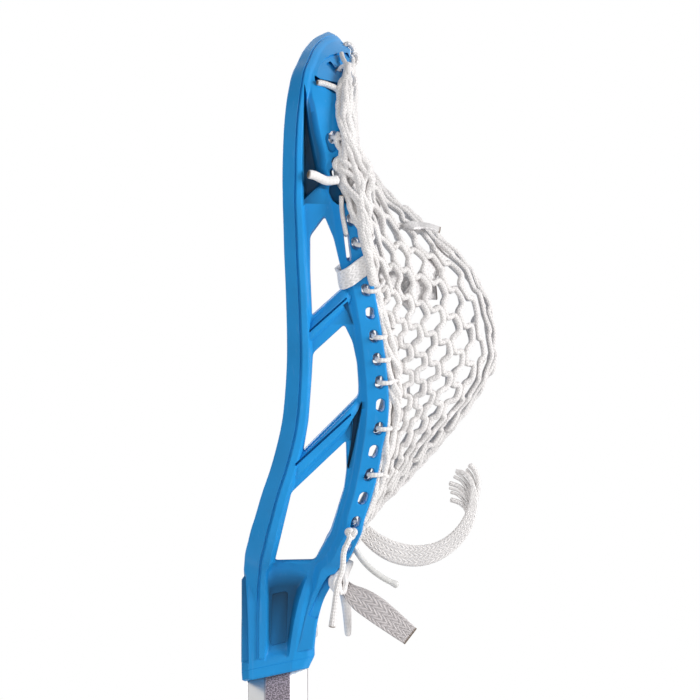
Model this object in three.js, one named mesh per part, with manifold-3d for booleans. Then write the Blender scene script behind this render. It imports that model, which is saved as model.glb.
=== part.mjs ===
// A strung lacrosse stick: a moulded head with a mesh pocket on an octagonal shaft.
// Millimetres, +Z up along the shaft. The origin is the middle of the butt end's bottom face.
// +X is the pocket side of the head, -X the side where the ball enters, and Y runs across the head.
import * as THREE from 'three';
import { mergeVertices } from 'three/addons/utils/BufferGeometryUtils.js';
import Module from 'manifold-3d';

const wasm = await Module();
wasm.setup();

// Clearances and tools of the whole part.
const clearance = 0.3;          // gap between pieces that touch
const cutOverrun = 4;           // how far a cut runs past what it cuts

// Shaft.
const shaftLength = 762;
const shaftDepth = 29.5;        // across the flats, front to back
const shaftWidth = 25.4;        // across the flats, side to side
const shaftSideFlat = 11.8;     // width of the flats that face sideways
const shaftEndFlat = 10;        // width of the flats that face front and back
const shaftWall = 1.6;

// Rubber end cap.
const capFloor = 3;
const capWall = 2.2;
const capSkirt = 34;
const capLip = 1;
const capLipHeight = 4;

// Head, overall.
const headLength = 316;         // lowest point of the throat to the top of the scoop
const headDepth = 53.5;         // deepest point of the back rail, from the shaft's axis
const faceHalfWidth = 80;       // widest point of the face, from the middle
const socketDepth = 50;         // how far the shaft goes into the throat

// Head, section of the hoop.
const wallInside = 2.2;         // hoop line to the inner face
const webRise = 1.2;            // hoop line to the outer face of the thin web
const frontFaceWidth = 6.2;
const frontFaceRise = 4.6;
const grooveWidth = 1;
const grooveDepth = 0.9;
const beadWidth = 2;
const beadProud = 0.5;
const beadSlopeWidth = 1.9;
const backRailWidth = 11;
const backRailRise = 4.1;
const backChamferWidth = 2.4;
const edgeRounding = 0.8;

// Head, throat.
const collarWall = 2.9;         // plastic in front of and behind the shaft
const collarSideWall = 4.5;     // plastic beside the shaft at the collar
const collarHeight = 8.5;
const collarSlant = 0.21;       // rise of the collar's lower edge per unit of depth
const throatRise = 72;
const throatTopShare = 0.228;   // share of the head's length that lies below the throat's top
const throatPanel = 2.4;        // how far the throat's side panel lies below the collar
const throatPocketDepth = 1.2;
const throatChamfer = 3.2;
const throatFloor = 55.5;       // height of the ball channel's floor

// Head, string holes. Their places run down the sidewall, as shares of the head's length.
const holePitchShare = 0.03566;
const firstHoleShare = 0.7123;
const holeInset = 4.3;          // hole centre to the back edge
const holeWidth = 4.2;
const holeLength = 6.4;

// Screw.
const screwHeight = 25;
const screwShankRadius = 1.9;
const screwShankLength = 10;
const screwHeadRadius = 3.7;
const screwHeadHeight = 2.2;
const screwHoleSegments = 12;
const screwSegments = 16;
const screwCrownShare = 0.7;    // radius of the head's flat top, as a share of its radius
const screwSeatDepth = 2;       // seat of the screw's head below the throat's back face

// Ball stop.
const ballStopThickness = 2.4;
const ballStopWidth = 27;
const ballStopLength = 28;
const ballStopRounding = 4;
const ballStopForward = shaftDepth / 6; // middle of the pad, back from the shaft's axis

// Mesh and strings.
const meshColumns = 10;
const meshRows = 14;
const meshCord = 2.7;
const meshReach = 1.9;          // how far the mesh's edge knots lie behind the back edge
const meshDrop = 2;             // how far they lie inside of the hoop line
const pocketDepth = 105.2;      // deepest point of the pocket, from the shaft's axis
const scoopSag = 1;             // how far each row by the scoop hangs below the rim
const meshRound = 0.9;          // 1 gives the pocket elliptical sections, less gives squarer ones
const gapEdgeShare = 0.7;       // where a tile is small, the cords take this share of it
const notchEdgeShare = 0.6;     // and this share of a notch in the border
const notchCordShare = 0.7;     // depth of the cord in a notch, as a share of meshCord
const meshClimb = 1.5;          // how late a row climbs from its edge to the height of its middle
const stringRadius = 1.15;

// Flat laces.
const laceWidth = 9.4;
const laceThickness = 1.5;
const laceGap = 0.55;

const headBase = capFloor + shaftLength - socketDepth;

// Small helpers.

const mergeDistance = 1e-4;     // points closer than this are one point
const octagonSides = 8;

// Turns a closed geometry into a solid that can be cut and joined.
function toSolid(geometry) {
  const plain = geometry.index ? geometry.toNonIndexed() : geometry.clone();
  plain.deleteAttribute('normal');
  plain.deleteAttribute('uv');
  const merged = mergeVertices(plain, mergeDistance);
  return new wasm.Manifold(new wasm.Mesh({
    numProp: 3,
    vertProperties: new Float32Array(merged.attributes.position.array),
    triVerts: new Uint32Array(merged.index.array),
  }));
}

function toGeometry(solid) {
  const mesh = solid.getMesh();
  const geometry = new THREE.BufferGeometry();
  geometry.setAttribute('position', new THREE.BufferAttribute(mesh.vertProperties, 3));
  geometry.setIndex(new THREE.BufferAttribute(mesh.triVerts, 1));
  return geometry;
}

// Six times the volume that a list of triangles encloses, with its sign.
function signedVolume(triangles) {
  let sum = 0;
  for (const [a, b, c] of triangles) {
    sum += a.dot(new THREE.Vector3().crossVectors(b, c));
  }
  return sum;
}

// Makes one closed body from triangles, with its faces pointing out.
function bodyFromTriangles(triangles) {
  const outward = signedVolume(triangles) > 0;
  const positions = [];
  for (const [a, b, c] of triangles) {
    const turned = outward ? [a, b, c] : [a, c, b];
    for (const corner of turned) {
      positions.push(corner.x, corner.y, corner.z);
    }
  }
  const geometry = new THREE.BufferGeometry();
  geometry.setAttribute('position', new THREE.BufferAttribute(new Float32Array(positions), 3));
  return mergeVertices(geometry, mergeDistance);
}

// Joins rings of equal length into one body. capTriangles closes both ends; without it the rings close on themselves.
function loft(rings, capTriangles) {
  const triangles = [];
  const sides = rings[0].length;
  const spans = capTriangles ? rings.length - 1 : rings.length;
  for (let i = 0; i < spans; i += 1) {
    const ring = rings[i];
    const next = rings[(i + 1) % rings.length];
    for (let j = 0; j < sides; j += 1) {
      const k = (j + 1) % sides;
      triangles.push([ring[j], ring[k], next[k]]);
      triangles.push([ring[j], next[k], next[j]]);
    }
  }
  if (capTriangles) {
    const first = rings[0];
    const last = rings[rings.length - 1];
    for (const [a, b, c] of capTriangles) {
      triangles.push([first[c], first[b], first[a]]);
      triangles.push([last[a], last[b], last[c]]);
    }
  }
  return bodyFromTriangles(triangles);
}

function fanCap(sides) {
  const cap = [];
  for (let j = 1; j < sides - 1; j += 1) {
    cap.push([0, j, j + 1]);
  }
  return cap;
}

function vec(x, y, z) {
  return new THREE.Vector3(x, y, z);
}

// A point moved along up to three directions.
function shifted(point, ...moves) {
  const moved = point.clone();
  for (const [direction, distance] of moves) {
    moved.addScaledVector(direction, distance);
  }
  return moved;
}

function mirrored(point) {
  return vec(point.x, -point.y, point.z);
}

// Directions along a route: each ring of a cord stands square to its tangent.
function routeFrames(points, firstSide) {
  const frames = [];
  let side = firstSide.clone();
  for (let i = 0; i < points.length; i += 1) {
    const before = points[Math.max(i - 1, 0)];
    const after = points[Math.min(i + 1, points.length - 1)];
    const tangent = after.clone().sub(before).normalize();
    side = side.clone().addScaledVector(tangent, -side.dot(tangent)).normalize();
    frames.push({ tangent, side, up: new THREE.Vector3().crossVectors(tangent, side) });
  }
  return frames;
}

// A round cord through the given points.
function cord(points, radius, sides) {
  const start = points[1].clone().sub(points[0]);
  const helper = Math.abs(start.x) > Math.abs(start.y) ? vec(0, 1, 0) : vec(1, 0, 0);
  const frames = routeFrames(points, helper);
  const rings = points.map((point, i) => {
    const ring = [];
    for (let j = 0; j < sides; j += 1) {
      const angle = (j / sides) * Math.PI * 2;
      ring.push(shifted(point,
        [frames[i].side, radius * Math.cos(angle)],
        [frames[i].up, radius * Math.sin(angle)]));
    }
    return ring;
  });
  return loft(rings, fanCap(sides));
}

// A smooth cord: a tube extruded along a curve through a few hand-chosen points.
const smoothCordSides = 8;

function smoothCord(points, radius, steps) {
  const section = new THREE.Shape();
  const sides = smoothCordSides;
  for (let j = 0; j < sides; j += 1) {
    const angle = (j / sides) * Math.PI * 2;
    const x = radius * Math.cos(angle);
    const y = radius * Math.sin(angle);
    if (j === 0) {
      section.moveTo(x, y);
    } else {
      section.lineTo(x, y);
    }
  }
  section.closePath();
  return new THREE.ExtrudeGeometry(section, {
    steps,
    extrudePath: new THREE.CatmullRomCurve3(points),
    bevelEnabled: false,
  });
}

// A flat lace: widths gives the direction of its width at each point.
function lace(points, widths, width, thickness, closed) {
  const count = points.length;
  const edge = width / 2;
  const half = thickness / 2;
  const shoulder = edge - half;
  const outline = [[edge, 0], [shoulder, half], [-shoulder, half], [-edge, 0], [-shoulder, -half], [shoulder, -half]];
  const rings = points.map((point, i) => {
    const before = closed ? points[(i + count - 1) % count] : points[Math.max(i - 1, 0)];
    const after = closed ? points[(i + 1) % count] : points[Math.min(i + 1, count - 1)];
    const tangent = after.clone().sub(before).normalize();
    const across = widths[i].clone().addScaledVector(tangent, -widths[i].dot(tangent)).normalize();
    const up = new THREE.Vector3().crossVectors(tangent, across);
    return outline.map(([a, b]) => shifted(point, [across, a], [up, b]));
  });
  return loft(rings, closed ? null : fanCap(outline.length));
}

// A closed outline in the side plane with rounded corners, cut through along Y between two values of y.
const cornerSegments = 3;

function sidePrism(outline, rounding, fromY, toY) {
  const shape = roundedShape(outline, rounding);
  const geometry = new THREE.ExtrudeGeometry(shape, {
    depth: toY - fromY,
    bevelEnabled: false,
    curveSegments: cornerSegments,
  });
  geometry.rotateX(Math.PI / 2);
  geometry.translate(0, toY, 0);
  return toSolid(geometry);
}

// An outline with rounded corners. No rounding takes more than a share of the sides that meet there.
const longestTrimShare = 0.45;

function roundedShape(outline, rounding) {
  const shape = new THREE.Shape();
  const count = outline.length;
  for (let i = 0; i < count; i += 1) {
    const corner = new THREE.Vector2(...outline[i]);
    const before = new THREE.Vector2(...outline[(i + count - 1) % count]);
    const after = new THREE.Vector2(...outline[(i + 1) % count]);
    const inTrim = Math.min(rounding, corner.distanceTo(before) * longestTrimShare);
    const outTrim = Math.min(rounding, corner.distanceTo(after) * longestTrimShare);
    const start = corner.clone().add(before.sub(corner).setLength(inTrim));
    const end = corner.clone().add(after.sub(corner).setLength(outTrim));
    if (i === 0) {
      shape.moveTo(start.x, start.y);
    } else {
      shape.lineTo(start.x, start.y);
    }
    shape.quadraticCurveTo(corner.x, corner.y, end.x, end.y);
  }
  shape.closePath();
  return shape;
}

// Shaft and end cap.

// Corners of the shaft's octagon, grown outwards by an amount on every side.
function shaftOctagon(grown) {
  const x = shaftDepth / 2 + grown;
  const y = shaftWidth / 2 + grown;
  const slope = Math.atan2(shaftWidth - shaftEndFlat, shaftDepth - shaftSideFlat);
  const a = shaftSideFlat / 2 + grown * Math.tan(slope / 2);
  const b = shaftEndFlat / 2 + grown * Math.tan((Math.PI / 2 - slope) / 2);
  return [[x, -b], [x, b], [a, y], [-a, y], [-x, b], [-x, -b], [-a, -y], [a, -y]];
}

function octagonShape(grown) {
  return new THREE.Shape(shaftOctagon(grown).map(([x, y]) => new THREE.Vector2(x, y)));
}

function buildShaft() {
  const section = octagonShape(0);
  section.holes.push(new THREE.Path(octagonShape(-shaftWall).getPoints()));
  const tube = new THREE.ExtrudeGeometry(section, { depth: shaftLength, bevelEnabled: false });
  tube.translate(0, 0, capFloor);
  const holeRadius = screwShankRadius + clearance;
  const hole = new THREE.CylinderGeometry(holeRadius, holeRadius, shaftWall + cutOverrun, screwHoleSegments);
  hole.rotateZ(Math.PI / 2);
  hole.translate(shaftDepth / 2, 0, headBase + screwHeight);
  return toGeometry(toSolid(tube).subtract(toSolid(hole)));
}

// A rubber cup round the butt end, with a thicker lip at its bottom.
function buildEndCap() {
  const rings = [
    [capWall + capLip - edgeRounding, 0],
    [capWall + capLip, edgeRounding],
    [capWall + capLip, capLipHeight],
    [capWall, capLipHeight + capLip],
    [capWall, capFloor + capSkirt - edgeRounding],
    [capWall - edgeRounding / 2, capFloor + capSkirt],
    [clearance, capFloor + capSkirt],
    [clearance, capFloor - clearance],
  ];
  const loops = rings.map(([grown, z]) => shaftOctagon(grown + clearance).map(([x, y]) => vec(x, y, z)));
  return loft(loops, fanCap(octagonSides));
}

// A height on the head from its share of the head's length. The throat keeps its own height.
function heightAt(share) {
  if (share < throatTopShare) {
    return (share / throatTopShare) * throatRise;
  }
  return throatRise + ((share - throatTopShare) / (1 - throatTopShare)) * (headLength - throatRise);
}

// Hoop of the head: sidewall, scoop and sidewall, as one moulded section carried round.

// One row per station from the throat to the middle of the scoop, as shares of headLength, headDepth and
// faceHalfWidth for the front edge and then for the back edge, then the back rail's width as a share of
// backRailWidth, how open the recess between the rails is, and how much the rails rise.
const hoopShares = [
  [0.030, -0.331, 0.165, 0.052, 0.328, 0.165, 0.79, 1, 1],
  [0.063, -0.331, 0.165, 0.066, 0.342, 0.165, 0.68, 1, 1],
  [0.095, -0.329, 0.165, 0.095, 0.365, 0.165, 0.60, 1, 1],
  [0.127, -0.320, 0.170, 0.127, 0.417, 0.168, 0.60, 1, 1],
  [0.152, -0.316, 0.194, 0.152, 0.486, 0.185, 0.68, 1, 1],
  [0.180, -0.303, 0.256, 0.180, 0.551, 0.225, 0.79, 1, 1],
  [0.197, -0.293, 0.325, 0.197, 0.647, 0.275, 0.79, 1, 1],
  [0.215, -0.267, 0.388, 0.215, 0.701, 0.319, 0.80, 1, 1],
  [0.234, -0.239, 0.438, 0.234, 0.755, 0.356, 0.80, 1, 1],
  [0.253, -0.204, 0.463, 0.253, 0.783, 0.381, 0.82, 1, 1],
  [0.290, -0.140, 0.479, 0.290, 0.854, 0.400, 0.86, 1, 1],
  [0.326, -0.067, 0.490, 0.326, 0.908, 0.406, 0.90, 1, 1],
  [0.364, -0.004, 0.500, 0.364, 0.946, 0.413, 0.91, 1, 1],
  [0.399, 0.041, 0.516, 0.399, 0.991, 0.429, 1.00, 1, 1],
  [0.437, 0.067, 0.535, 0.437, 1.000, 0.448, 1.00, 1, 1],
  [0.491, 0.086, 0.575, 0.491, 0.976, 0.488, 1.00, 1, 1],
  [0.544, 0.086, 0.631, 0.544, 0.931, 0.544, 0.96, 1, 1],
  [0.601, 0.077, 0.704, 0.601, 0.873, 0.616, 0.96, 1, 1],
  [0.655, 0.064, 0.781, 0.655, 0.804, 0.694, 0.96, 1, 1],
  [0.693, 0.058, 0.838, 0.693, 0.755, 0.750, 0.93, 1, 1],
  [0.728, 0.052, 0.888, 0.725, 0.714, 0.800, 0.87, 1, 1],
  [0.753, 0.050, 0.923, 0.741, 0.650, 0.825, 0.75, 1, 1],
  [0.769, 0.050, 0.941, 0.759, 0.551, 0.844, 0.50, 1, 1],
  [0.791, 0.052, 0.965, 0.785, 0.492, 0.863, 0.40, 1, 1],
  [0.816, 0.056, 0.988, 0.807, 0.551, 0.879, 0.73, 1, 1],
  [0.848, 0.065, 1.000, 0.834, 0.561, 0.888, 1.04, 1, 1],
  [0.886, 0.086, 0.991, 0.864, 0.572, 0.881, 1.36, 0.8, 1],
  [0.915, 0.114, 0.925, 0.889, 0.591, 0.825, 1.80, 0, 0.9],
  [0.934, 0.140, 0.850, 0.907, 0.606, 0.763, 1.80, 0, 0.8],
  [0.951, 0.185, 0.738, 0.924, 0.621, 0.663, 1.60, 0, 0.65],
  [0.970, 0.239, 0.588, 0.943, 0.639, 0.525, 1.30, 0, 0.5],
  [0.987, 0.321, 0.363, 0.960, 0.650, 0.325, 1.10, 0, 0.38],
  [0.996, 0.407, 0.181, 0.967, 0.656, 0.163, 1.00, 0, 0.3],
  [1.000, 0.456, 0.000, 0.968, 0.656, 0.000, 1.00, 0, 0.28],
];

// Stations of the whole hoop, the near side first. Each has its front and back points and its directions.
function makeHoop() {
  const near = hoopShares.map(([fh, fx, fy, bh, bx, by, rail, open, rise]) => ({
    front: vec(fx * headDepth, -fy * faceHalfWidth, heightAt(fh)),
    back: vec(bx * headDepth, -by * faceHalfWidth, heightAt(bh)),
    rail: rail * backRailWidth,
    open,
    rise,
  }));
  const far = near.slice(0, -1).reverse().map((station) => ({
    ...station,
    front: mirrored(station.front),
    back: mirrored(station.back),
  }));
  const stations = near.concat(far);
  stations.forEach((station, i) => {
    const before = stations[Math.max(i - 1, 0)];
    const after = stations[Math.min(i + 1, stations.length - 1)];
    const along = after.front.clone().add(after.back).sub(before.front).sub(before.back).normalize();
    station.inward = station.back.clone().sub(station.front).normalize();
    station.outward = new THREE.Vector3().crossVectors(station.inward, along).normalize();
    station.along = along;
    station.width = station.back.distanceTo(station.front);
  });
  return stations;
}

const hoop = makeHoop();
const scoopMiddle = (hoop.length - 1) / 2;

// Where the hoop is narrow, its front rail is squeezed to a share of the width.
const frontRailShare = 0.6;
const grooveSlopeShare = 0.3;   // share of the groove's width that each of its sides slopes over

// Outline of the hoop's section: distance from the front edge, and rise above the line between the edges.
function hoopSection(station) {
  const { width, rail, open, rise } = station;
  const frontRailWidth = frontFaceWidth + grooveWidth + beadWidth + beadSlopeWidth;
  const squeeze = Math.min(1, (width * frontRailShare) / frontRailWidth);
  const slope = grooveWidth * squeeze * grooveSlopeShare;
  const faceEnd = frontFaceWidth * squeeze;
  const grooveEnd = faceEnd + grooveWidth * squeeze;
  const beadEnd = grooveEnd + beadWidth * squeeze;
  const foot = beadEnd + beadSlopeWidth * squeeze;
  const faceRise = frontFaceRise * rise;
  const groove = faceRise - grooveDepth * rise;
  const bead = faceRise + beadProud * rise;
  const backRise = backRailRise * rise;
  const webLevel = backRise + (webRise - backRise) * open;
  const railStart = Math.max(width - rail, foot + backChamferWidth * open + edgeRounding);
  const webEnd = Math.max(railStart - backChamferWidth * open, foot + edgeRounding / 2);
  return [
    [0, -wallInside / 2],
    [0, 0],
    [faceEnd, faceRise],
    [faceEnd + slope, groove],
    [grooveEnd, groove],
    [grooveEnd + slope, bead],
    [beadEnd, bead],
    [foot, Math.min(webLevel, bead)],
    [webEnd, webLevel],
    [railStart + edgeRounding / 4, backRise],
    [width - edgeRounding, backRise],
    [width, backRise - edgeRounding],
    [width, -wallInside + edgeRounding / 2],
    [width - edgeRounding, -wallInside],
    [width / 2, -wallInside],
    [edgeRounding, -wallInside],
  ];
}

function hoopRing(station) {
  return hoopSection(station).map(([q, b]) => shifted(station.front, [station.inward, q], [station.outward, b]));
}

function buildHoop() {
  const outline = hoopSection(hoop[0]).map(([q, b]) => new THREE.Vector2(q, b));
  const cap = THREE.ShapeUtils.triangulateShape(outline, []).map(([a, b, c]) => [c, b, a]);
  return loft(hoop.map(hoopRing), cap);
}

// The back edge and its directions at a place between two stations, given as a fractional station number.
function rimAt(place) {
  const i = Math.min(Math.floor(place), hoop.length - 2);
  const t = place - i;
  const a = hoop[i];
  const b = hoop[i + 1];
  const mix = (key) => a[key].clone().lerp(b[key], t);
  return {
    back: mix('back'),
    front: mix('front'),
    inward: mix('inward').normalize(),
    outward: mix('outward').normalize(),
    along: mix('along').normalize(),
    rise: a.rise + (b.rise - a.rise) * t,
  };
}

// The place on the near sidewall where the back edge has a given height.
function placeAtHeight(height) {
  for (let i = 0; i < scoopMiddle; i += 1) {
    const low = hoop[i].back.z;
    const high = hoop[i + 1].back.z;
    if (height >= low && height <= high) {
      return i + (height - low) / (high - low);
    }
  }
  return scoopMiddle;
}

// A point of the near sidewall seen from the side, raised above the hoop line.
function wallPoint(x, height, rise) {
  const rim = rimAt(placeAtHeight(height));
  const share = (x - rim.front.x) / (rim.back.x - rim.front.x);
  const base = rim.front.clone().lerp(rim.back, share);
  return shifted(vec(x, base.y, height), [rim.outward, rise]);
}

// Throat of the head.

// Rows of the throat's block from the collar up: height, front reach, back reach, front half width and back half
// width, as shares of throatRise, headDepth twice and faceHalfWidth twice.
const throatShares = [
  [0.235, 0.331, 0.335, 0.195, 0.195],
  [0.46, 0.331, 0.37, 0.195, 0.195],
  [0.56, 0.320, 0.42, 0.198, 0.196],
  [0.667, 0.316, 0.486, 0.212, 0.202],
  [0.79, 0.300, 0.545, 0.262, 0.232],
  [0.867, 0.288, 0.62, 0.325, 0.275],
  [0.944, 0.262, 0.67, 0.388, 0.319],
  [1, 0.240, 0.70, 0.43, 0.35],
];
const socketReach = shaftDepth / 2 + clearance + collarWall;

// How far back a row of the throat reaches: never less than the socket's wall.
function throatReach(share) {
  return Math.max(share * headDepth, socketReach);
}

// One closed section of the throat with chamfered corners.
function throatRing(front, back, frontHalf, backHalf, chamfer, levelAt) {
  const corners = [
    [back, -backHalf + chamfer], [back, backHalf - chamfer],
    [back - chamfer, backHalf], [front + chamfer, frontHalf],
    [front, frontHalf - chamfer], [front, -frontHalf + chamfer],
    [front + chamfer, -frontHalf], [back - chamfer, -backHalf],
  ];
  return corners.map(([x, y]) => vec(x, y, levelAt(x)));
}

function buildThroat() {
  const front = -(socketReach - edgeRounding / 2);
  const collarBack = socketReach - collarWall / 2;
  const collarHalf = shaftWidth / 2 + clearance + collarSideWall;
  const panelHalf = collarHalf - throatPanel;
  const slanted = (base) => (x) => base + (x - front) * collarSlant;
  const rings = [
    throatRing(front + edgeRounding * 2, collarBack, collarHalf - edgeRounding / 2, collarHalf - edgeRounding / 2,
      throatChamfer, slanted(0)),
    throatRing(front, collarBack + edgeRounding, collarHalf, collarHalf, throatChamfer, slanted(collarHeight)),
    throatRing(front, collarBack + edgeRounding, panelHalf, panelHalf, throatChamfer,
      slanted(collarHeight + edgeRounding / 2)),
  ];
  for (const [h, frontShare, back, frontHalf, backHalf] of throatShares) {
    const reach = h * throatRise < socketDepth ? Math.max(frontShare * headDepth, socketReach) : frontShare * headDepth;
    rings.push(throatRing(edgeRounding / 2 - reach, throatReach(back), frontHalf * faceHalfWidth,
      backHalf * faceHalfWidth, throatChamfer, () => h * throatRise));
  }
  return loft(rings, fanCap(octagonSides));
}

// The channel above the throat's floor where the ball rolls out: flat in the middle and rising to the sidewalls.
// Half widths and heights are shares of faceHalfWidth and of the rise from the floor to the throat's top.
const channelShares = [[0.19, 0], [0.235, 0.12], [0.28, 0.35], [0.325, 0.7], [0.36, 1.4]];

function ballChannel() {
  const rise = throatRise - throatFloor;
  const right = channelShares.map(([y, h]) => [y * faceHalfWidth, throatFloor + h * rise]);
  const left = right.map(([y, h]) => [-y, h]).reverse();
  const shape = new THREE.Shape(right.concat(left).map(([y, h]) => new THREE.Vector2(y, h)));
  const geometry = new THREE.ExtrudeGeometry(shape, { depth: headDepth * 2, bevelEnabled: false });
  geometry.rotateX(Math.PI / 2);
  geometry.rotateZ(Math.PI / 2);
  geometry.translate(-headDepth, 0, 0);
  return toSolid(geometry);
}

// Windows of the sidewalls, from the scoop down, as shares of headDepth and headLength.
const windowShares = [
  [[0.424, 0.717], [0.291, 0.687], [0.292, 0.633], [0.310, 0.562], [0.621, 0.609], [0.574, 0.636], [0.510, 0.682]],
  [[0.318, 0.506], [0.602, 0.550], [0.682, 0.522], [0.722, 0.490], [0.736, 0.456], [0.733, 0.440], [0.230, 0.355],
    [0.277, 0.402], [0.303, 0.462]],
  [[0.622, 0.372], [0.123, 0.292], [-0.030, 0.185], [0.335, 0.188], [0.484, 0.232], [0.606, 0.299], [0.628, 0.328]],
];
const windowRounding = 1.8;

function sideOutline(shares) {
  return shares.map(([x, h]) => [x * headDepth, heightAt(h)]);
}

// Ribs across the struts between the windows. Each has its two ends as shares of headDepth and headLength, and a
// section: distance across the strut and rise above the hoop line, as shares of strutWidth and strutRise.
const strutWidth = 10.5;
const strutRise = 4.2;
const strutRootShare = -0.3;    // how deep a rib's foot lies in the wall, as a share of strutRise
const strutStations = [[-0.06, 0.35], [0.06, 0.85], [0.2, 1], [0.5, 1], [0.8, 1], [0.94, 0.85], [1.06, 0.35]];
const strutShares = [
  {
    from: [0.185, 0.752], to: [0.420, 0.785],
    section: [[-0.25, 0.25], [-0.08, 0.75], [0.1, 0.75], [0.3, 0.25]],
  },
  {
    from: [0.25, 0.520], to: [0.68, 0.592],
    section: [[-0.58, 0.28], [-0.34, 0.95], [-0.1, 0.95], [0.12, 0.28]],
  },
  {
    from: [0.12, 0.319], to: [0.715, 0.421],
    section: [[-0.46, 0.28], [-0.2, 1], [0.2, 0.92], [0.38, 0.28]],
  },
];

function buildStrut({ from, to, section }) {
  const [[startX, startH], [endX, endH]] = sideOutline([from, to]);
  const length = Math.hypot(endX - startX, endH - startH);
  const across = [(endH - startH) / length, -(endX - startX) / length];
  const outline = [[section[0][0], strutRootShare], ...section, [section[section.length - 1][0], strutRootShare]];
  const rings = strutStations.map(([t, rise]) => outline.map(([a, b]) => wallPoint(
    startX + (endX - startX) * t + across[0] * a * strutWidth,
    startH + (endH - startH) * t + across[1] * a * strutWidth,
    b * strutRise * (b > 0 ? rise : 1),
  )));
  return toSolid(loft(rings, fanCap(outline.length)));
}

// String holes. Numbers count even steps down from the first hole; the third place holds the slot instead.
const sideHoles = [0, 1, 3, 4, 5, 6, 7, 8, 9, 10, 11, 12, 13, 14];
const lacedHoles = [0, 1, 3, 5, 6, 7, 9, 11];
const lastHole = 13;            // where each sidewall string comes out and ends
const slotPlace = 1.13;
const slotWidth = 2.5;
const slotLength = 15.5;
const slotInset = 8.6;

function holeHeight(number) {
  return heightAt(firstHoleShare - number * holePitchShare);
}

// An oval outline with its long side along a direction.
const ovalSegments = 12;

function ovalOutline(centre, direction, width, length) {
  const points = [];
  for (let i = 0; i < ovalSegments; i += 1) {
    const angle = (i / ovalSegments) * Math.PI * 2;
    const along = Math.sin(angle) * (width / 2) + Math.sign(Math.sin(angle)) * (length - width) / 2;
    const across = Math.cos(angle) * (width / 2);
    points.push([
      centre[0] + direction[0] * along + direction[1] * across,
      centre[1] + direction[1] * along - direction[0] * across,
    ]);
  }
  return points;
}

// An oval cut through both sidewalls at a height, set in from the back edge.
function sideOvalCut(height, inset, width, length) {
  const rim = rimAt(placeAtHeight(height));
  const flat = new THREE.Vector2(rim.along.x, rim.along.z).normalize();
  const centre = shifted(rim.back, [rim.inward, -inset]);
  const outline = ovalOutline([centre.x, centre.z], [flat.x, flat.y], width, length);
  const shape = new THREE.Shape(outline.map(([x, h]) => new THREE.Vector2(x, h)));
  const reach = faceHalfWidth + cutOverrun;
  const geometry = new THREE.ExtrudeGeometry(shape, { depth: 2 * reach, bevelEnabled: false });
  geometry.rotateX(Math.PI / 2);
  geometry.translate(0, reach, 0);
  return toSolid(geometry);
}

// The scoop's string holes, from the near side. Each lies at a half column of the mesh.
const scoopHoleColumns = [0.5, 2.5, 4.5, 5.5, 7.5, 9.5];
const scoopHoleSegments = 10;

// Length of the back edge from the mesh's upper corner to each station, on the near half.
function rimLengths(fromPlace) {
  const lengths = [0];
  const places = [fromPlace];
  let last = rimAt(fromPlace).back;
  for (let place = Math.floor(fromPlace) + 1; place <= scoopMiddle; place += 1) {
    const next = rimAt(place).back;
    lengths.push(lengths[lengths.length - 1] + next.distanceTo(last));
    places.push(place);
    last = next;
  }
  return { lengths, places };
}

// The place on the scoop's back edge for a position across the mesh, -1 at the near side and 1 at the far side.
function scoopPlace(across) {
  const { lengths, places } = scoopRim;
  const wanted = (1 - Math.abs(across)) * lengths[lengths.length - 1];
  let i = 0;
  while (i < lengths.length - 2 && lengths[i + 1] < wanted) {
    i += 1;
  }
  const t = (wanted - lengths[i]) / (lengths[i + 1] - lengths[i]);
  const place = places[i] + (places[i + 1] - places[i]) * t;
  return across > 0 ? 2 * scoopMiddle - place : place;
}

const meshTopPlace = -2.5;
const scoopRim = rimLengths(placeAtHeight(holeHeight(meshTopPlace)));

function scoopHoleAcross(number) {
  return columnAcross(scoopHoleColumns[number]);
}

function scoopHoleCut(number) {
  const rim = rimAt(scoopPlace(scoopHoleAcross(number)));
  const centre = shifted(rim.back, [rim.inward, -holeInset]);
  const reach = frontFaceRise + wallInside + cutOverrun;
  const hole = new THREE.CylinderGeometry(holeWidth / 2, holeWidth / 2, 2 * reach, scoopHoleSegments);
  hole.scale(holeLength / holeWidth, 1, 1);
  const turn = new THREE.Matrix4().makeBasis(rim.along, rim.outward, rim.inward);
  hole.applyMatrix4(turn);
  hole.translate(centre.x, centre.y, centre.z);
  return toSolid(hole);
}

// Recesses of the throat's side panel, as shares of shaftDepth and socketDepth.
const throatPocketShares = [[-0.078, 0.86], [0.132, 0.886], [0.173, 0.862], [0.139, 0.388], [-0.088, 0.352],
  [-0.125, 0.37], [-0.095, 0.846]];

function throatPocket() {
  const collarHalf = shaftWidth / 2 + clearance + collarSideWall;
  const floor = collarHalf - throatPanel - throatPocketDepth;
  const outline = throatPocketShares.map(([x, h]) => [x * shaftDepth, h * socketDepth]);
  const far = sidePrism(outline, edgeRounding, floor, floor + cutOverrun * 2);
  const near = sidePrism(outline, edgeRounding, -floor - cutOverrun * 2, -floor);
  return far.add(near);
}

function socketCut() {
  const socket = new THREE.ExtrudeGeometry(octagonShape(clearance), {
    depth: socketDepth + clearance + cutOverrun,
    bevelEnabled: false,
  });
  socket.translate(0, 0, -cutOverrun);
  return toSolid(socket);
}

// Back face of the throat at the screw, between two rows of throatShares.
function throatBackAt(height) {
  let i = 0;
  while (i < throatShares.length - 2 && throatShares[i + 1][0] * throatRise < height) {
    i += 1;
  }
  const [h0, , b0] = throatShares[i];
  const [h1, , b1] = throatShares[i + 1];
  const t = (height - h0 * throatRise) / ((h1 - h0) * throatRise);
  return throatReach(b0) + (throatReach(b1) - throatReach(b0)) * t;
}

const screwSeat = throatBackAt(screwHeight) - screwSeatDepth;

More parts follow.
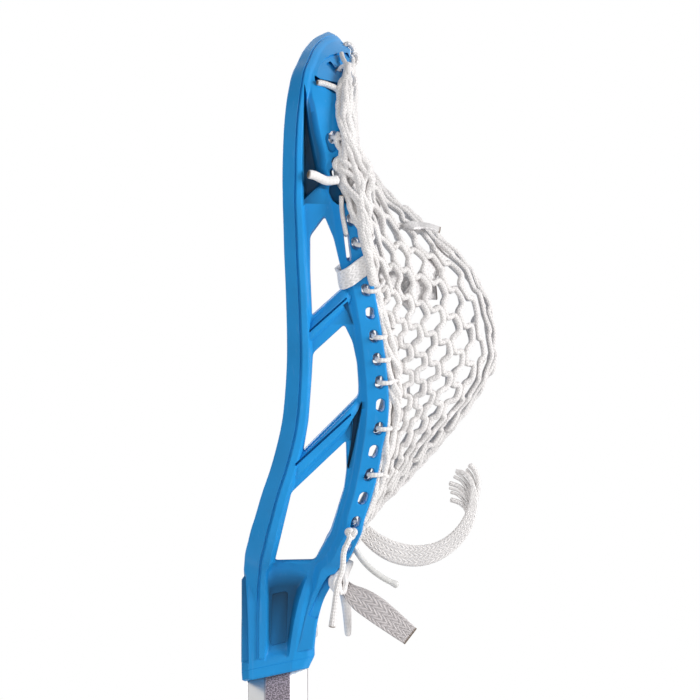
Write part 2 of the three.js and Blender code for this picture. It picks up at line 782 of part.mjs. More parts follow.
function screwCut() {
  const shaftHole = screwShankRadius + clearance;
  const bore = new THREE.CylinderGeometry(shaftHole, shaftHole, screwShankLength * 2, screwHoleSegments);
  bore.rotateZ(Math.PI / 2);
  bore.translate(screwSeat, 0, screwHeight);
  const seatRadius = screwHeadRadius + clearance;
  const seat = new THREE.CylinderGeometry(seatRadius, seatRadius, screwSeatDepth + cutOverrun, screwSegments);
  seat.rotateZ(Math.PI / 2);
  seat.translate(screwSeat + (screwSeatDepth + cutOverrun) / 2, 0, screwHeight);
  return toSolid(bore).add(toSolid(seat));
}

function buildHead() {
  let head = toSolid(buildHoop()).add(toSolid(buildThroat()));
  for (const strut of strutShares) {
    const near = buildStrut(strut);
    head = head.add(near).add(near.mirror([0, 1, 0]));
  }
  const reach = faceHalfWidth + cutOverrun;
  for (const outline of windowShares) {
    head = head.subtract(sidePrism(sideOutline(outline), windowRounding, -reach, reach));
  }
  head = head.subtract(ballChannel()).subtract(throatPocket()).subtract(socketCut()).subtract(screwCut());
  for (const number of sideHoles) {
    head = head.subtract(sideOvalCut(holeHeight(number), holeInset, holeWidth, holeLength));
  }
  head = head.subtract(sideOvalCut(holeHeight(slotPlace), slotInset, slotWidth, slotLength));
  for (let i = 0; i < scoopHoleColumns.length; i += 1) {
    head = head.subtract(scoopHoleCut(i));
  }
  return toGeometry(head);
}

function buildScrew() {
  const profile = [
    [0, 0],
    [screwShankRadius, 0],
    [screwShankRadius, screwShankLength],
    [screwHeadRadius, screwShankLength],
    [screwHeadRadius, screwShankLength + screwHeadHeight / 2],
    [screwHeadRadius * screwCrownShare, screwShankLength + screwHeadHeight],
    [0, screwShankLength + screwHeadHeight],
  ];
  const screw = new THREE.LatheGeometry(profile.map(([r, y]) => new THREE.Vector2(r, y)), screwSegments);
  screw.rotateZ(-Math.PI / 2);
  screw.translate(screwSeat + clearance - screwShankLength, 0, screwHeight);
  return screw;
}

function buildBallStop() {
  const x = ballStopLength / 2;
  const y = ballStopWidth / 2;
  const pad = roundedShape([[-x, -y], [x, -y], [x, y], [-x, y]], ballStopRounding);
  const geometry = new THREE.ExtrudeGeometry(pad, {
    depth: ballStopThickness,
    bevelEnabled: false,
    curveSegments: cornerSegments + 1,
  });
  geometry.translate(ballStopForward, 0, throatFloor + clearance);
  return geometry;
}

// Mesh pocket.

// Where the rows of edge knots lie, in the string holes' steps down from the first hole.
const knotPlaces = [-1.5, -0.15, 1, 3, 4, 5, 6, 7, 8, 9, 10, 11, 13, 14.3];
const meshBottomPlace = 15.3;

// Height along the rail for a row number; knots lie at half numbers.
function edgePlace(row) {
  const stops = [[0, meshTopPlace], ...knotPlaces.map((place, i) => [i + 0.5, place]), [meshRows, meshBottomPlace]];
  let i = 0;
  while (i < stops.length - 2 && stops[i + 1][0] < row) {
    i += 1;
  }
  const t = (row - stops[i][0]) / (stops[i + 1][0] - stops[i][0]);
  return stops[i][1] + (stops[i + 1][1] - stops[i][1]) * t;
}

// Middle line of the pocket from the scoop to the throat: depth as a share of pocketDepth, and height as a share of
// the head's length.
const pocketShares = [
  [0.336, 0.959], [0.345, 0.92], [0.354, 0.87], [0.366, 0.82], [0.409, 0.792], [0.514, 0.748],
  [0.640, 0.713], [0.769, 0.676], [0.874, 0.64], [0.940, 0.602], [0.982, 0.564], [1.000, 0.522],
  [0.988, 0.49], [0.946, 0.455], [0.868, 0.418], [0.778, 0.381], [0.682, 0.345], [0.574, 0.307],
  [0.469, 0.271], [0.384, 0.237], [0.324, 0.205], [0.297, 0.178], [0.294, 0.16],
];
const pocketCurve = new THREE.CatmullRomCurve3(pocketShares.map(([x, h]) => vec(x * pocketDepth, 0, heightAt(h))));

const acrossSamples = 40;
const acrossTables = new Map();

// How far round a row's curve each equal step of length lies, as a share of the quarter turn from the middle.
function acrossTable(row, edge, middle) {
  if (!acrossTables.has(row)) {
    const lengths = [0];
    let last = rowShare(0, edge, middle);
    for (let i = 1; i <= acrossSamples; i += 1) {
      const next = rowShare(i / acrossSamples, edge, middle);
      lengths.push(lengths[i - 1] + next.distanceTo(last));
      last = next;
    }
    acrossTables.set(row, lengths);
  }
  return acrossTables.get(row);
}

// A point of a row's curve, from the middle of the pocket (0) to the edge (1).
function rowShare(share, edge, middle) {
  const angle = (share * Math.PI) / 2;
  const deep = Math.cos(angle) ** meshRound;
  const wide = Math.sin(angle) ** meshRound;
  const climb = Math.cos(angle) ** meshClimb;
  return vec(edge.x + (middle.x - edge.x) * deep, edge.y * wide, edge.z + (middle.z - edge.z) * climb);
}

// The first rows bend to the scoop's rim: over this many rows in the middle, and over fewer towards the sides.
const scoopBlendRows = 2;
const scoopBlendPower = 4;
const cornerBlendRows = 0.01;

// A point of the mesh's middle surface: row counts down from the scoop, across runs from -1 near to 1 far.
function meshPoint(across, row) {
  const rim = rimAt(placeAtHeight(holeHeight(edgePlace(row))));
  const edge = shifted(rim.back, [rim.inward, meshReach], [rim.outward, -meshDrop]);
  const middle = pocketCurve.getPointAt(Math.min(Math.max(row / meshRows, 0), 1));
  const lengths = acrossTable(row, edge, middle);
  const wanted = Math.min(Math.abs(across), 1) * lengths[acrossSamples];
  let i = 0;
  while (i < acrossSamples - 1 && lengths[i + 1] < wanted) {
    i += 1;
  }
  const share = (i + (wanted - lengths[i]) / (lengths[i + 1] - lengths[i])) / acrossSamples;
  const hung = rowShare(share, edge, middle);
  hung.y *= -Math.sign(across);
  const blendRows = scoopBlendRows * (1 - across ** scoopBlendPower) + cornerBlendRows;
  const nearScoop = 1 - THREE.MathUtils.smoothstep(row, 0, blendRows);
  if (nearScoop === 0) {
    return hung;
  }
  const scoopRimPoint = rimAt(scoopPlace(Math.max(-1, Math.min(1, across))));
  const tied = shifted(scoopRimPoint.back, [scoopRimPoint.inward, meshReach], [scoopRimPoint.outward, -meshDrop]);
  tied.z -= row * scoopSag * nearScoop;
  return hung.lerp(tied, nearScoop);
}

// Direction that points out of the pocket, from points a small step apart in rows and across.
const normalStep = 0.05;

function meshNormal(across, row) {
  const a = Math.max(normalStep - 1, Math.min(1 - normalStep, across));
  const r = Math.max(normalStep, Math.min(meshRows - normalStep, row));
  const acrossStep = meshPoint(a + normalStep, r).sub(meshPoint(a - normalStep, r));
  const rowStep = meshPoint(a, r + normalStep).sub(meshPoint(a, r - normalStep));
  return new THREE.Vector3().crossVectors(rowStep, acrossStep).normalize();
}

function columnAcross(column) {
  return (2 * column) / meshColumns - 1;
}

// How much a tile's gap shrinks towards its middle, so that the cords round it keep their thickness.
function gapShrink(column, row) {
  const left = meshPoint(columnAcross(column - 0.5), row);
  const right = meshPoint(columnAcross(column + 0.5), row);
  const top = meshPoint(columnAcross(column), row - 0.5);
  const bottom = meshPoint(columnAcross(column), row + 0.5);
  const a = left.distanceTo(right) / 2;
  const b = top.distanceTo(bottom) / 2;
  const inscribed = (a * b) / Math.hypot(a, b);
  return 1 - Math.min(meshCord / 2, inscribed * gapEdgeShare) / inscribed;
}

// Diamonds between cords of diamond-shaped section. Every tile has a ridge on each side and a gap in the middle.
function buildMesh() {
  const triangles = [];
  const quad = (a, b, c, d) => {
    triangles.push([a, b, c]);
    triangles.push([a, c, d]);
  };
  const ridge = (column, row, side) => {
    const across = columnAcross(column);
    return shifted(meshPoint(across, row), [meshNormal(across, row), (side * meshCord) / 2]);
  };
  const tiles = [];
  for (let row = 0; row < meshRows; row += 1) {
    for (let column = 0; column < meshColumns; column += 1) {
      tiles.push([column + 0.5, row + 0.5]);
      if (row > 0 && column > 0) {
        tiles.push([column, row]);
      }
    }
  }
  for (const [column, row] of tiles) {
    const corners = [[column - 0.5, row], [column, row + 0.5], [column + 0.5, row], [column, row - 0.5]];
    const shrink = gapShrink(column, row);
    const gap = corners.map(([c, r]) => meshPoint(
      columnAcross(column + (c - column) * shrink),
      row + (r - row) * shrink,
    ));
    corners.forEach(([c, r], i) => {
      const k = (i + 1) % 4;
      const [nextC, nextR] = corners[k];
      quad(ridge(c, r, 1), ridge(nextC, nextR, 1), gap[k], gap[i]);
      quad(gap[i], gap[k], ridge(nextC, nextR, -1), ridge(c, r, -1));
    });
  }
  closeMeshBorder(quad, ridge);
  return bodyFromTriangles(triangles);
}

// The zigzag border: knots stand out at half numbers and the notches between them follow whole numbers.
function closeMeshBorder(quad, ridge) {
  const border = [];
  for (let column = 0; column < meshColumns; column += 1) {
    border.push([column + 0.5, 0, 0, -1]);
    if (column < meshColumns - 1) {
      border.push([column + 1, 0.5, 0, 0]);
    }
  }
  for (let row = 0; row < meshRows; row += 1) {
    border.push([meshColumns, row + 0.5, 1, 0]);
    if (row < meshRows - 1) {
      border.push([meshColumns - 0.5, row + 1, 0, 0]);
    }
  }
  for (let column = meshColumns - 1; column >= 0; column -= 1) {
    border.push([column + 0.5, meshRows, 0, 1]);
    if (column > 0) {
      border.push([column, meshRows - 0.5, 0, 0]);
    }
  }
  for (let row = meshRows - 1; row >= 0; row -= 1) {
    border.push([0, row + 0.5, -1, 0]);
    if (row > 0) {
      border.push([0.5, row, 0, 0]);
    }
  }
  const outer = border.map(([column, row, outColumn, outRow], i) => {
    const here = meshPoint(columnAcross(column), row);
    if (outColumn === 0 && outRow === 0) {
      const before = border[(i + border.length - 1) % border.length];
      const after = border[(i + 1) % border.length];
      const middle = meshPoint(columnAcross(before[0]), before[1]).add(meshPoint(columnAcross(after[0]), after[1]));
      middle.multiplyScalar(0.5);
      const away = middle.sub(here);
      const depth = Math.min(meshCord * notchCordShare, away.length() * notchEdgeShare);
      return shifted(here, [away.normalize(), depth]);
    }
    const inner = meshPoint(columnAcross(column - outColumn * 0.5), row - outRow * 0.5);
    return shifted(here, [here.clone().sub(inner).normalize(), meshCord / 2]);
  });
  border.forEach(([column, row], i) => {
    const k = (i + 1) % border.length;
    const [nextColumn, nextRow] = border[k];
    quad(ridge(column, row, 1), ridge(nextColumn, nextRow, 1), outer[k], outer[i]);
    quad(outer[i], outer[k], ridge(nextColumn, nextRow, -1), ridge(column, row, -1));
  });
}

// Strings that tie the mesh on.

const stringSides = 6;
const loopGap = 0.4;            // string to the plastic and to the mesh
const openingGap = 0.5;         // more room where a string goes through an opening
const wrapPlace = 2.06;         // where the flat lace is tied round the rail, in the string holes' steps
const wrapPassShares = [0.75, -0.85];

// A point near the back edge: distance past the edge, and rise above the hoop line.
function railPoint(rim, past, rise) {
  return shifted(rim.back, [rim.inward, past], [rim.outward, rise]);
}

function rimAtHeight(height) {
  return rimAt(placeAtHeight(height));
}

// A point moved far enough in from the hoop's inner face for a string to pass it.
function clearOfWall(rim, point, away) {
  const offset = point.clone().sub(rim.back);
  const rise = offset.dot(rim.outward);
  const missing = offset.dot(rim.inward) < away ? Math.max(0, rise + wallInside + away) : 0;
  return shifted(point, [rim.outward, -missing]);
}

// One stitch: up through a hole, over the back edge, down through the mesh beside a knot and under the knot.
// The string goes down in the corner of the opening that lies between the knot and its two neighbours.
function stitch(rim, knot, neighbours) {
  const away = stringRadius + loopGap;
  const top = backRailRise * rim.rise;
  const [a, b] = neighbours.map((point) => point.clone().sub(knot).normalize());
  const down = a.clone().add(b).normalize();
  const over = new THREE.Vector3().crossVectors(b, a).normalize();
  const corner = over.clone().add(rim.outward).normalize();
  const reach = (meshCord / 2 + stringRadius + openingGap) / Math.sin(Math.acos(a.dot(b)) / 2);
  const clear = meshCord / 2 + away;
  return [
    railPoint(rim, -holeInset, -wallInside - away - loopGap),
    railPoint(rim, -holeInset, 0),
    railPoint(rim, -holeInset, top),
    railPoint(rim, -holeInset + stringRadius, top + away),
    railPoint(rim, -edgeRounding, top + away),
    railPoint(rim, away / 2, top + away / 2),
    railPoint(rim, away, top - edgeRounding),
    shifted(knot, [corner, clear + loopGap]),
    shifted(knot, [down, reach / 2], [over, clear]),
    shifted(knot, [down, reach], [over, meshCord / 2]),
    shifted(knot, [down, reach], [over, -meshCord / 2]),
    clearOfWall(rim, shifted(knot, [down, reach / 2], [over, -clear]), away),
    clearOfWall(rim, shifted(knot, [over, -clear]), away),
  ];
}

// Lacing of one sidewall. side is 1 for the near wall and -1 for the far wall.
function buildSidewallString(side) {
  const inner = -wallInside - stringRadius - loopGap * 2;
  const points = [railPoint(rimAtHeight(holeHeight(lacedHoles[0] - 1 / 2)), -holeInset, inner)];
  for (const number of lacedHoles) {
    const row = knotPlaces.findIndex((place) => Math.abs(place - number) < 0.5) + 0.5;
    const neighbours = [row - 0.5, row + 0.5].map((place) => meshPoint(columnAcross(0.5), place));
    points.push(...stitch(rimAtHeight(holeHeight(number)), meshPoint(-1, row), neighbours));
    if (number < wrapPlace && number + 2 > wrapPlace) {
      const behind = inner - laceThickness - laceGap;
      for (const share of wrapPassShares) {
        points.push(railPoint(rimAtHeight(holeHeight(wrapPlace) + share * laceWidth), -edgeRounding, behind));
      }
    }
  }
  const end = rimAtHeight(holeHeight(lastHole));
  points.push(railPoint(end, -holeInset, inner), railPoint(end, -holeInset, 0), railPoint(end, -holeInset, webRise));
  return cord(side > 0 ? points : points.map(mirrored), stringRadius, stringSides);
}

// Lacing along the scoop, from the near side over the top to the far side.
function buildTopString() {
  const points = [];
  for (let i = 0; i < scoopHoleColumns.length; i += 1) {
    const across = scoopHoleAcross(i);
    const aside = 1 / meshColumns;
    const neighbours = [across + aside, across - aside].map((place) => meshPoint(place, 0.5));
    points.push(...stitch(rimAt(scoopPlace(across)), meshPoint(across, 0), neighbours));
  }
  return cord(points, stringRadius, stringSides);
}

// Cord that draws the mesh's lower edge to the throat, just below that edge.

const throatStringStations = 14;
const throatStringPast = 1;
const throatStringDrop = 2.5;

function throatStringPoint(across) {
  const edge = meshPoint(across, meshRows);
  return vec(edge.x + throatStringPast, edge.y, edge.z - throatStringDrop);
}

function buildThroatString() {
  const points = [];
  for (let i = 0; i <= throatStringStations; i += 1) {
    points.push(throatStringPoint((2 * i) / throatStringStations - 1));
  }
  return smoothCord(points, stringRadius, throatStringStations);
}

// Flat laces across the pocket, on the inner side of the mesh.

const shootingStations = 15;
const shootingGap = 0.7;
const shootingReach = 0.8;

function buildShootingLace(row) {
  const depth = meshCord / 2 + laceThickness / 2 + shootingGap;
  const points = [];
  const widths = [];
  for (let i = 0; i <= shootingStations; i += 1) {
    const across = (2 * i / shootingStations - 1) * shootingReach;
    points.push(shifted(meshPoint(across, row), [meshNormal(across, row), -depth]));
    widths.push(meshPoint(across, row + normalStep * 2).sub(meshPoint(across, row - normalStep * 2)).normalize());
  }
  return lace(points, widths, laceWidth, laceThickness, false);
}

// Flat lace tied once round each back rail, through the window.

const wrapTilt = 0.62;          // rise of the lace per unit of width of the rail
const wrapInside = 1.7;         // lace's middle to the window's edge

// The rear edge of the uppermost window at a height, as a distance past the back edge.
function windowEdge(height) {
  const edge = sideOutline([...windowShares[0].slice(4), windowShares[0][0]]);
  let i = 0;
  while (i < edge.length - 2 && edge[i + 1][1] < height) {
    i += 1;
  }
  const [[x0, h0], [x1, h1]] = [edge[i], edge[i + 1]];
  const rim = rimAtHeight(height);
  return (x0 + ((x1 - x0) * (height - h0)) / (h1 - h0) - rim.back.x) / rim.inward.x;
}

// The wrap's middle line: distance past the back edge, and rise above the hoop line.
function wrapSection() {
  const off = laceThickness / 2 + laceGap;
  const outer = backRailRise + off + laceGap / 3;
  const inner = -wallInside - off - laceGap / 2;
  const low = holeHeight(wrapPlace) - wrapTilt * backRailWidth;
  const window = Math.min(windowEdge(low), windowEdge(low + laceWidth / 2)) - wrapInside;
  return [
    [off + laceGap / 4, backRailRise - edgeRounding * 2],
    [off - laceGap / 3, backRailRise + off / 2],
    [-edgeRounding, outer],
    [-backRailWidth / 2, outer],
    [-backRailWidth, outer],
    [window + off / 2, (webRise + outer) / 2],
    [window - laceGap / 2, webRise / 2],
    [window, inner + off / 2],
    [window + laceThickness + laceGap, inner],
    [-backRailWidth / 2, inner],
    [-edgeRounding, inner],
    [off, inner + edgeRounding],
  ];
}

function buildRailWrap(side) {
  const points = [];
  const widths = [];
  for (const [past, rise] of wrapSection()) {
    const height = holeHeight(wrapPlace) + wrapTilt * (past + backRailWidth / 2);
    const rim = rimAt(placeAtHeight(height));
    const point = shifted(rim.back, [rim.inward, past], [rim.outward, rise]);
    points.push(side > 0 ? point : mirrored(point));
    widths.push(side > 0 ? rim.along : mirrored(rim.along));
  }
  return lace(points, widths, laceWidth, laceThickness, true);
}

// Loose ends. Each route is a list of chosen steps from the piece that it hangs on.

function routeFrom(anchor, steps) {
  return steps.map(([x, y, h]) => vec(anchor.x + x, anchor.y + y, anchor.z + h));
}

const knotRadius = 3.4;
const knotDetail = 2;
const knotPlace = 13.26;
const tailSteps = 10;           // rings along a short tail
const knotInset = 6.2;
const knotTailRadius = 1.4;
const knotTailSteps = [[0, 0, 0], [-1.4, -1.4, -4], [-3.5, -1.6, -9], [-4.2, -1.2, -17], [-6.8, -0.4, -26.8],
  [-9.2, 0.8, -45.2]];

function buildNearStringTail() {
  const centre = railPoint(rimAtHeight(holeHeight(knotPlace)), -knotInset, backRailRise + clearance + knotRadius);
  const knot = new THREE.IcosahedronGeometry(knotRadius, knotDetail);
  knot.translate(centre.x, centre.y, centre.z);
  const tail = smoothCord(routeFrom(centre, knotTailSteps), knotTailRadius, tailSteps * 2);
  return toGeometry(toSolid(knot).add(toSolid(tail)));
}

const throatTailRadius = 2.3;
const throatTailAcross = -0.62;
const throatTailSteps = [[0, -0.2, -1.6], [1, -0.7, -7.6], [1.9, -1.2, -14], [2.5, -1.8, -25.5]];

function buildThroatTail() {
  return smoothCord(routeFrom(throatStringPoint(throatTailAcross), throatTailSteps), throatTailRadius, tailSteps);
}

const nylonRadius = 1.45;
const nylonRow = 13.5;
const nylonSteps = [[0.7, -0.8, -1.4], [4.8, -0.9, -7.2], [9.8, -0.3, -11.8], [14.9, 0.5, -15.2], [20.1, 1.3, -17.8]];

function buildNylonTail() {
  return smoothCord(routeFrom(meshPoint(-1, nylonRow), nylonSteps), nylonRadius, tailSteps);
}

// Flat ends: rows of steps in x, y and height from the anchor, and the band's width there.
const flatTailRows = [[0.2, -1.2, -1.4, 6.5], [4.4, -2.9, -6.8, 10.6], [9.7, -3.3, -10.8, 12.2],
  [15.8, -3.7, -14.8, 12.4], [22.2, -4.1, -19.6, 11.6], [28.4, -4.5, -24.4, 10.8], [34.1, -4.9, -28.8, 10.2]];
const meshBandRows = [[4.4, -3, 2.4, 7.6], [8, -3, -1.2, 8.6], [12.6, -3, -4.6, 9.6], [18.8, -3, -7.7, 10.4],
  [26.3, -3, -9.4, 10.6], [33.8, -3.5, -9.2, 10], [41.6, -4, -6.6, 8.8], [48.4, -4.5, -1.7, 7.6],
  [53.4, -5, 4.4, 7.2], [56.4, -5, 11.2, 7], [57.6, -5, 18.2, 7.4], [57, -5, 25, 6.8], [54, -4.6, 30, 5.6],
  [49, -4, 31.7, 4.4]];
const meshBranchRows = [[55, -5, 11.2, 3], [53.9, -5, 17.6, 4.4], [51, -5, 21.6, 5.4], [47, -5, 23.2, 5.4]];
const meshBandThickness = 3.4;
const branchThicknessShare = 0.9;

function buildBand(anchor, rows, thickness) {
  const points = routeFrom(anchor, rows);
  const frames = routeFrames(points, vec(0, 1, 0));
  const half = thickness / 2;
  const rings = rows.map(([, , , width], i) => {
    const edge = width / 2;
    const shoulder = edge - half / 2;
    const { side, up } = frames[i];
    const outline = [[edge, 0], [shoulder, half], [-shoulder, half], [-edge, 0], [-shoulder, -half], [shoulder, -half]];
    return outline.map(([a, b]) => shifted(points[i], [up, a], [side, b]));
  });
  return loft(rings, fanCap(6));
}

function buildFlatTail() {
  return buildBand(throatStringPoint(-1), flatTailRows, laceThickness);
}

function buildMeshTail() {
  const anchor = meshPoint(0, meshRows - 1);
  const band = toSolid(buildBand(anchor, meshBandRows, meshBandThickness));
  return toGeometry(band.add(toSolid(buildBand(anchor, meshBranchRows, meshBandThickness * branchThicknessShare))));
}

const stubRadius = 2.2;
const stubFromShares = [0.531, 0.7655];
const stubToShares = [0.28, 0.7772];

// The cut end of the top string, lying on the outer face of the near sidewall.
function buildTopStub() {
  const rise = frontFaceRise + clearance + stubRadius;
  const [from, to] = sideOutline([stubFromShares, stubToShares]).map(([x, h]) => wallPoint(x, h, rise));
  return smoothCord([from, to], stubRadius, 1);
}

// Ends of the laces: each has places on the mesh, as across and row, and a distance inside of it.
const innerTailPlaces = [[-0.86, 3.5], [-0.8, 3.9], [-0.73, 4.4], [-0.66, 4.8], [-0.57, 5.2], [-0.48, 5.5]];
const outerTailPlaces = [[-0.42, 3.9], [-0.37, 4], [-0.31, 4.15]];
const outerTailEndSteps = [[5.2, 0.6, -0.6], [10.4, 1, -2.4]];
const outerTailWidthWay = [0, 0.9, 0.35];
const innerTailWidthShare = 0.9;
const outerTailWidthShare = 0.7;

function buildInnerTail() {
  const depth = meshCord / 2 + laceThickness * 1.5 + shootingGap + laceGap * 2;
  const points = innerTailPlaces.map(([across, row]) => (
    shifted(meshPoint(across, row), [meshNormal(across, row), -depth])));
  const widths = points.map((point, i) => {
    const ahead = i < points.length - 1 ? points[i + 1].clone().sub(point) : point.clone().sub(points[i - 1]);
    return new THREE.Vector3().crossVectors(meshNormal(...innerTailPlaces[i]), ahead);
  });
  return lace(points, widths, laceWidth * innerTailWidthShare, laceThickness, false);
}

function buildOuterTail() {
  const depth = meshCord / 2 + laceThickness / 2 + shootingGap * 2;
  const points = outerTailPlaces.map(([across, row]) => (
    shifted(meshPoint(across, row), [meshNormal(across, row), depth])));
  points.push(...routeFrom(points[points.length - 1], outerTailEndSteps));
  const widths = points.map(() => vec(...outerTailWidthWay));
  return lace(points, widths, laceWidth * outerTailWidthShare, laceThickness, false);
}

// Assembly.

const plasticBlue = { color: 0x2f8fdc, roughness: 0.35, metalness: 0 };
const stringWhite = { color: 0xece9e6, roughness: 0.85, metalness: 0 };
const laceWhite = { color: 0xf1efee, roughness: 0.7, metalness: 0 };
const nylonWhite = { color: 0xd9d8d4, roughness: 0.35, metalness: 0 };

function named(name, geometry, look) {
  const mesh = new THREE.Mesh(geometry, new THREE.MeshStandardMaterial(look));
  mesh.name = name;
  return mesh;
}

const stick = new THREE.Group();
stick.add(named('shaft', buildShaft(), { color: 0xc9cbcd, roughness: 0.3, metalness: 0.9 }));
stick.add(named('end_cap', buildEndCap(), { color: 0x202226, roughness: 0.8, metalness: 0 }));

const headGroup = new THREE.Group();
headGroup.position.set(0, 0, headBase);
headGroup.add(named('head', buildHead(), plasticBlue));
headGroup.add(named('head_screw', buildScrew(), { color: 0x9a9da1, roughness: 0.4, metalness: 1 }));
headGroup.add(named('ball_stop', buildBallStop(), { color: 0x26282c, roughness: 0.95, metalness: 0 }));
headGroup.add(named('mesh_pocket', buildMesh(), stringWhite));
headGroup.add(named('sidewall_string_near', buildSidewallString(1), stringWhite));
headGroup.add(named('sidewall_string_far', buildSidewallString(-1), stringWhite));
headGroup.add(named('top_string', buildTopString(), stringWhite));
headGroup.add(named('throat_string', buildThroatString(), stringWhite));
headGroup.add(named('shooting_lace_upper', buildShootingLace(3), laceWhite));
headGroup.add(named('shooting_lace_lower', buildShootingLace(5), laceWhite));
headGroup.add(named('rail_wrap_near', buildRailWrap(1), laceWhite));
headGroup.add(named('rail_wrap_far', buildRailWrap(-1), laceWhite));
headGroup.add(named('near_string_tail', buildNearStringTail(), stringWhite));
headGroup.add(named('throat_cord_tail', buildThroatTail(), stringWhite));
headGroup.add(named('nylon_tail', buildNylonTail(), nylonWhite));
headGroup.add(named('flat_lace_tail', buildFlatTail(), laceWhite));
headGroup.add(named('mesh_tail_band', buildMeshTail(), stringWhite));
headGroup.add(named('top_string_stub', buildTopStub(), stringWhite));
headGroup.add(named('shooting_lace_tail', buildOuterTail(), laceWhite));
headGroup.add(named('inner_lace_tail', buildInnerTail(), laceWhite));
stick.add(headGroup);

export default stick;
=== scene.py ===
"""Looks of a strung lacrosse stick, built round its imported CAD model.

Lengths below are millimetres in the head's own frame: x towards the pocket, y across the head, and height above the
head's lowest point. in_frame() turns them into metres in the frame of the whole stick.
"""

import math

import bpy
import numpy as np
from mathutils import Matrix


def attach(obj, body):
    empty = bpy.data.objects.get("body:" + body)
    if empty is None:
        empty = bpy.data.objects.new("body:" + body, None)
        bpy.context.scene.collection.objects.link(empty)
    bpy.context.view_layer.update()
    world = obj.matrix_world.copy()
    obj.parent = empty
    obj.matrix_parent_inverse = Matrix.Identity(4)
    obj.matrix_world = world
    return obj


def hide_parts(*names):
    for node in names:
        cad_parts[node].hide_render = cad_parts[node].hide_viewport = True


bl_info = {
    "name": "Lacrosse stick",
    "version": (1, 0, 0),
    "blender": (4, 5, 0),
    "location": "View3D > Sidebar > Stick",
    "description": "Builds the surfaces and finishes of a strung lacrosse stick",
    "category": "Mesh",
}

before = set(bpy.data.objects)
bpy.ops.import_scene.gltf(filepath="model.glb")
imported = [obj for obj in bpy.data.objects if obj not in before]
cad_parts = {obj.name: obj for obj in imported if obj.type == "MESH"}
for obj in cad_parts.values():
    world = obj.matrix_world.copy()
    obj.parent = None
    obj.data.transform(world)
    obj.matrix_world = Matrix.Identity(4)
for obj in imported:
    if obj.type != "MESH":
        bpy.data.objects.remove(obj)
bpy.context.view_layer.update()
UV_NAME = "lay"
SINGE_NAME = "singe"
# Name of the head's point attribute that holds the shade painted down its hollows.
PAINTED_SHADE_NAME = "recess"

# Sizes shared with the CAD source, in millimetres.
MM = 0.001
HEAD_BASE = 715.0
HEAD_LENGTH = 316.0
HEAD_DEPTH = 53.5
FACE_HALF_WIDTH = 80.0
THROAT_RISE = 72.0
THROAT_TOP_SHARE = 0.228
SOCKET_DEPTH = 50.0
CLEARANCE = 0.3
SHAFT_LENGTH = 762.0
SHAFT_DEPTH = 29.5
SHAFT_WIDTH = 25.4
SHAFT_SIDE_FLAT = 11.8
SHAFT_END_FLAT = 10.0
SHAFT_WALL = 1.6
STREAK_PLACE = 8.6
STREAK_HALF, STREAK_STRENGTH = 0.45, 0.45
GRIT_HALF = 5.9
GRIT_EDGE = 0.8
CAP_FLOOR = 3.0
CAP_WALL = 2.2
CAP_SKIRT = 34.0
CAP_LIP = 1.0
CAP_LIP_HEIGHT = 4.0
CAP_GROOVE_SHARES = [0.3, 0.5, 0.7]
CAP_GROOVE = [[0, -1.1], [0.6, -0.5], [0.6, 0.5], [0, 1.1]]
# How far corners of the shaft, its bore and the cap are eased, and how far in the shaft's ends are drawn.
SHAFT_EASE, BORE_EASE, CAP_EASE, SHAFT_EDGE = 0.9, 0.6, 1.6, 0.3
# Angles in degrees over which an edge stays hard, and how much more the head's large faces weigh in its shading.
HEAD_SHARP, SHAFT_SHARP, CAP_SHARP, SCREW_SHARP, STOP_SHARP = 32, 50, 45, 35, 60
LARGE_FACE_WEIGHT = 60

PHOTO_SIZE = 700
PHOTO_PIXEL = 0.484
SHAFT_AXIS_PIXEL = 277.5
THROAT_PIXEL = 683.0

WALL_INSIDE = 2.2
WEB_RISE = 1.2
FRONT_FACE_WIDTH = 5.1
FRONT_FACE_RISE = 4.6
GROOVE_WIDTH = 0.7
GROOVE_DEPTH = 0.9
BEAD_WIDTH = 3.2
BEAD_PROUD = 0.5
FRONT_WIDTHS = [[0, 90, 150, 230, 290, 310], [1.45, 1.3, 1.12, 0.95, 0.8, 0.7]]
BEAD_SLOPE_WIDTH = 1.9
BACK_RAIL_WIDTH = 11.0
BACK_RAIL_RISE = 4.1
BACK_CHAMFER_WIDTH = 2.4
EDGE_ROUNDING = 0.8
# The most of the section's width that face, groove and bead may take, and how far the groove's walls lean.
FRONT_SHARE, GROOVE_LEAN = 0.6, 0.3

HOLE_PITCH_SHARE = 0.03566
FIRST_HOLE_SHARE = 0.7123
HOLE_INSET = 4.3
HOLE_WIDTH = 4.2
HOLE_LENGTH = 6.4
SIDE_HOLES = [0, 1, 3, 4, 5, 6, 7, 8, 9, 10, 11, 12, 13, 14]
LACED_HOLES = [0, 1, 3, 5, 6, 7, 9, 11]
LAST_HOLE = 13
SCOOP_HOLE_COLUMNS = [0.5, 2.5, 4.5, 5.5, 7.5, 9.5]

MESH_COLUMNS = 10
MESH_ROWS = 14
MESH_CORD = 2.7
MESH_FLUFF = 0.2
MESH_BUNCH = 0.055
MESH_TIGHT = 0.3
KNOT_LEG = 7.5
# The longest a knot's legs are as a share of the space between knots, how far its two cords lie beside and over its
# middle in their radii, the slack across and out of the mesh, and the step along its cords.
KNOT_LEG_SHARE, KNOT_SPACING, KNOT_LIFT = 0.385, 1.02, 0.35
MESH_SLACK = [0.45, 0.3]
MESH_STEP = 0.95
